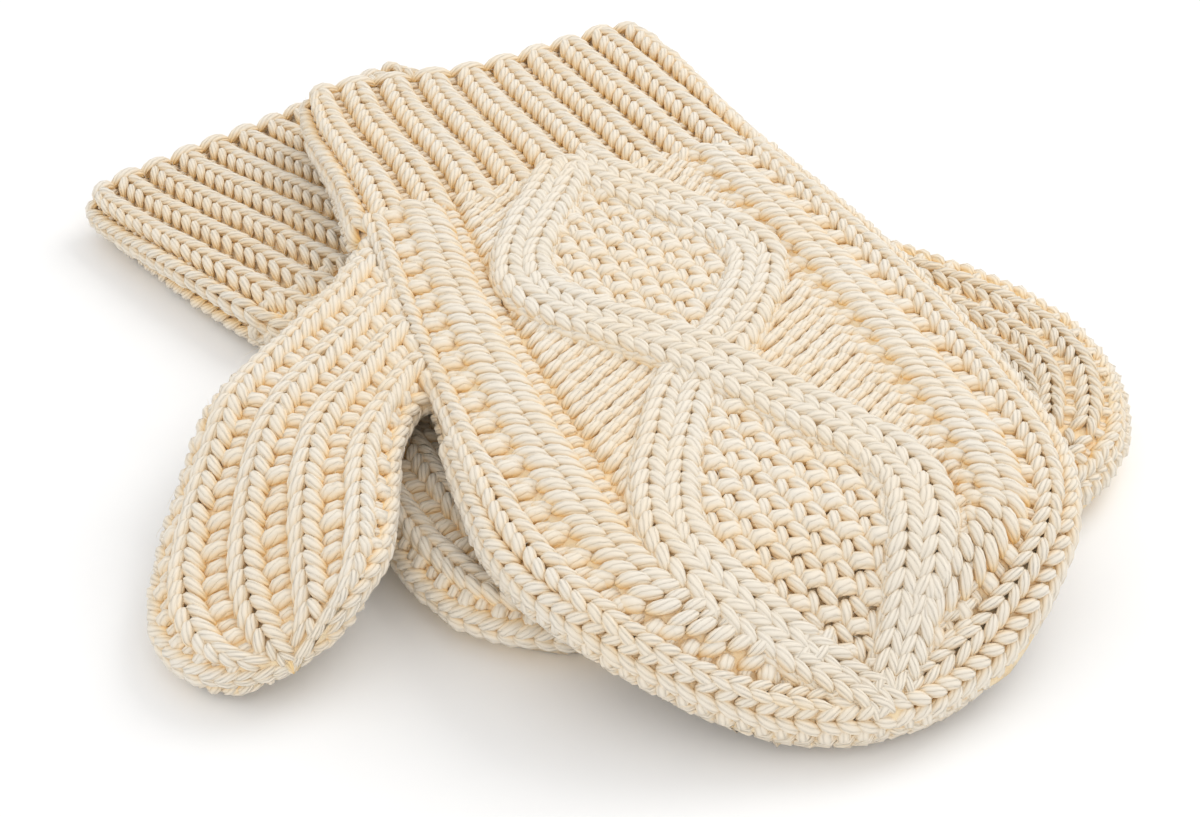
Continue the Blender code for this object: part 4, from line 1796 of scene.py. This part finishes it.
@dataclass(frozen=True)
class Studio:
    """A pale table, soft light and the camera at the photograph's view.

    Attributes:
        eye: the camera's place in metres.
        tilt: how far it looks down, in degrees.
        lens: its focal length in mm, on a frame 36 mm wide.
    """

    eye: tuple[float, float, float] = (0.00676, -0.41290, 0.29790)
    tilt: float = 37.0
    lens: float = 63.0

    def build(self) -> None:
        """Makes all of it."""
        self.table()
        self.light("key", (0.55, 0.40, 0.75), 0.6, 3.3, (1.0, 0.985, 0.96))
        self.light("fill", (-0.75, -0.25, 0.55), 0.9, 0.7, (0.93, 0.96, 1.0))
        self.light("front", (0.15, -0.95, 0.75), 0.9, 1.6, (1.0, 0.98, 0.95))
        world = bpy.data.worlds.new("studio")
        world.use_nodes = True
        world.node_tree.nodes["Background"].inputs[0].default_value = (1.0, 1.0, 1.0, 1.0)
        world.node_tree.nodes["Background"].inputs[1].default_value = 0.86
        bpy.context.scene.world = world
        bpy.context.scene.view_settings.view_transform = "Standard"
        camera = bpy.data.objects.new("camera", bpy.data.cameras.new("camera"))
        camera.data.lens = self.lens
        camera.data.sensor_width = 36.0
        camera.data.clip_start = 0.02
        camera.location = self.eye
        camera.rotation_euler = (math.radians(90 - self.tilt), 0.0, 0.0)
        bpy.context.scene.collection.objects.link(camera)
        bpy.context.scene.camera = camera

    def light(
        self, name: str, at: tuple, size: float, power: float, colour: tuple
    ) -> None:
        """Adds a soft square light that faces the mittens.

        Args:
            name: its name.
            at: its place in metres.
            size: length of its sides in metres.
            power: in watts.
            colour: of its light.
        """
        lamp = bpy.data.lights.new(name, "AREA")
        lamp.shape, lamp.size, lamp.energy, lamp.color = "SQUARE", size, power, colour
        holder = bpy.data.objects.new(name, lamp)
        holder.location = at
        holder.rotation_euler = (-Vector(at)).to_track_quat("-Z", "Y").to_euler()
        bpy.context.scene.collection.objects.link(holder)

    def table(self) -> None:
        """Adds the table, a wide white plane."""
        bpy.ops.object.select_all(action="DESELECT")
        bpy.ops.mesh.primitive_plane_add(size=8.0, location=(0.0, 0.0, -0.0002))
        table = bpy.context.active_object
        table.name = "table"
        g = Graph("white_table")
        place = g.make("ShaderNodeTexCoord", {}, {}, "Object")
        grain = g.noise(place, 60.0, 2.0)
        colour = g.mix(grain, (0.93, 0.93, 0.93, 1.0), (0.95, 0.95, 0.95, 1.0))
        rough = 0.9 - grain * 0.05
        g.finish({"Specular IOR Level": 0.1}, {"Base Color": colour, "Roughness": rough})
        table.data.materials.append(g.material)


def main() -> None:
    """Builds the lower mitten, the upper one across it, and the studio."""
    logging.basicConfig(level=logging.INFO, format="%(name)s: %(message)s")
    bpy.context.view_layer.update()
    lower = Mitten(
        "lower", (-98.0, 115.0), ((0, -46.0), (45, -46.0), (112, -29.6), (262, -29.6)),
        LOWER_OUTLINE, LOWER_EDGE,
    )
    upper = Mitten(
        "upper", (-33.7, 123.1), ((0, -68.9), (255, -68.9)), UPPER_OUTLINE, UPPER_EDGE, lower
    )
    wool = Wool().material("cream_wool")
    inner = InnerKnit().material("inner_knit")
    Studio().build()
    pieces = (
        FlatBack(lower, wool, inner),
        Palm(lower, Side.TOP, wool, inner),
        Cuff(lower, 13, 11, True, wool, inner),
        Thumb(lower, LOWER_THUMB, True, wool, inner),
        Palm(upper, Side.UNDER, wool, inner, coarse=True),
        Back(upper, wool, inner),
        Cuff(upper, 11, 13, False, wool, inner),
        Thumb(upper, UPPER_THUMB, False, wool, inner),
    )
    for piece in pieces:
        piece.build()
        log.info("%s of the %s mitten is made", type(piece).__name__, piece.mitten.name)


if __name__ == "__main__":
    main()
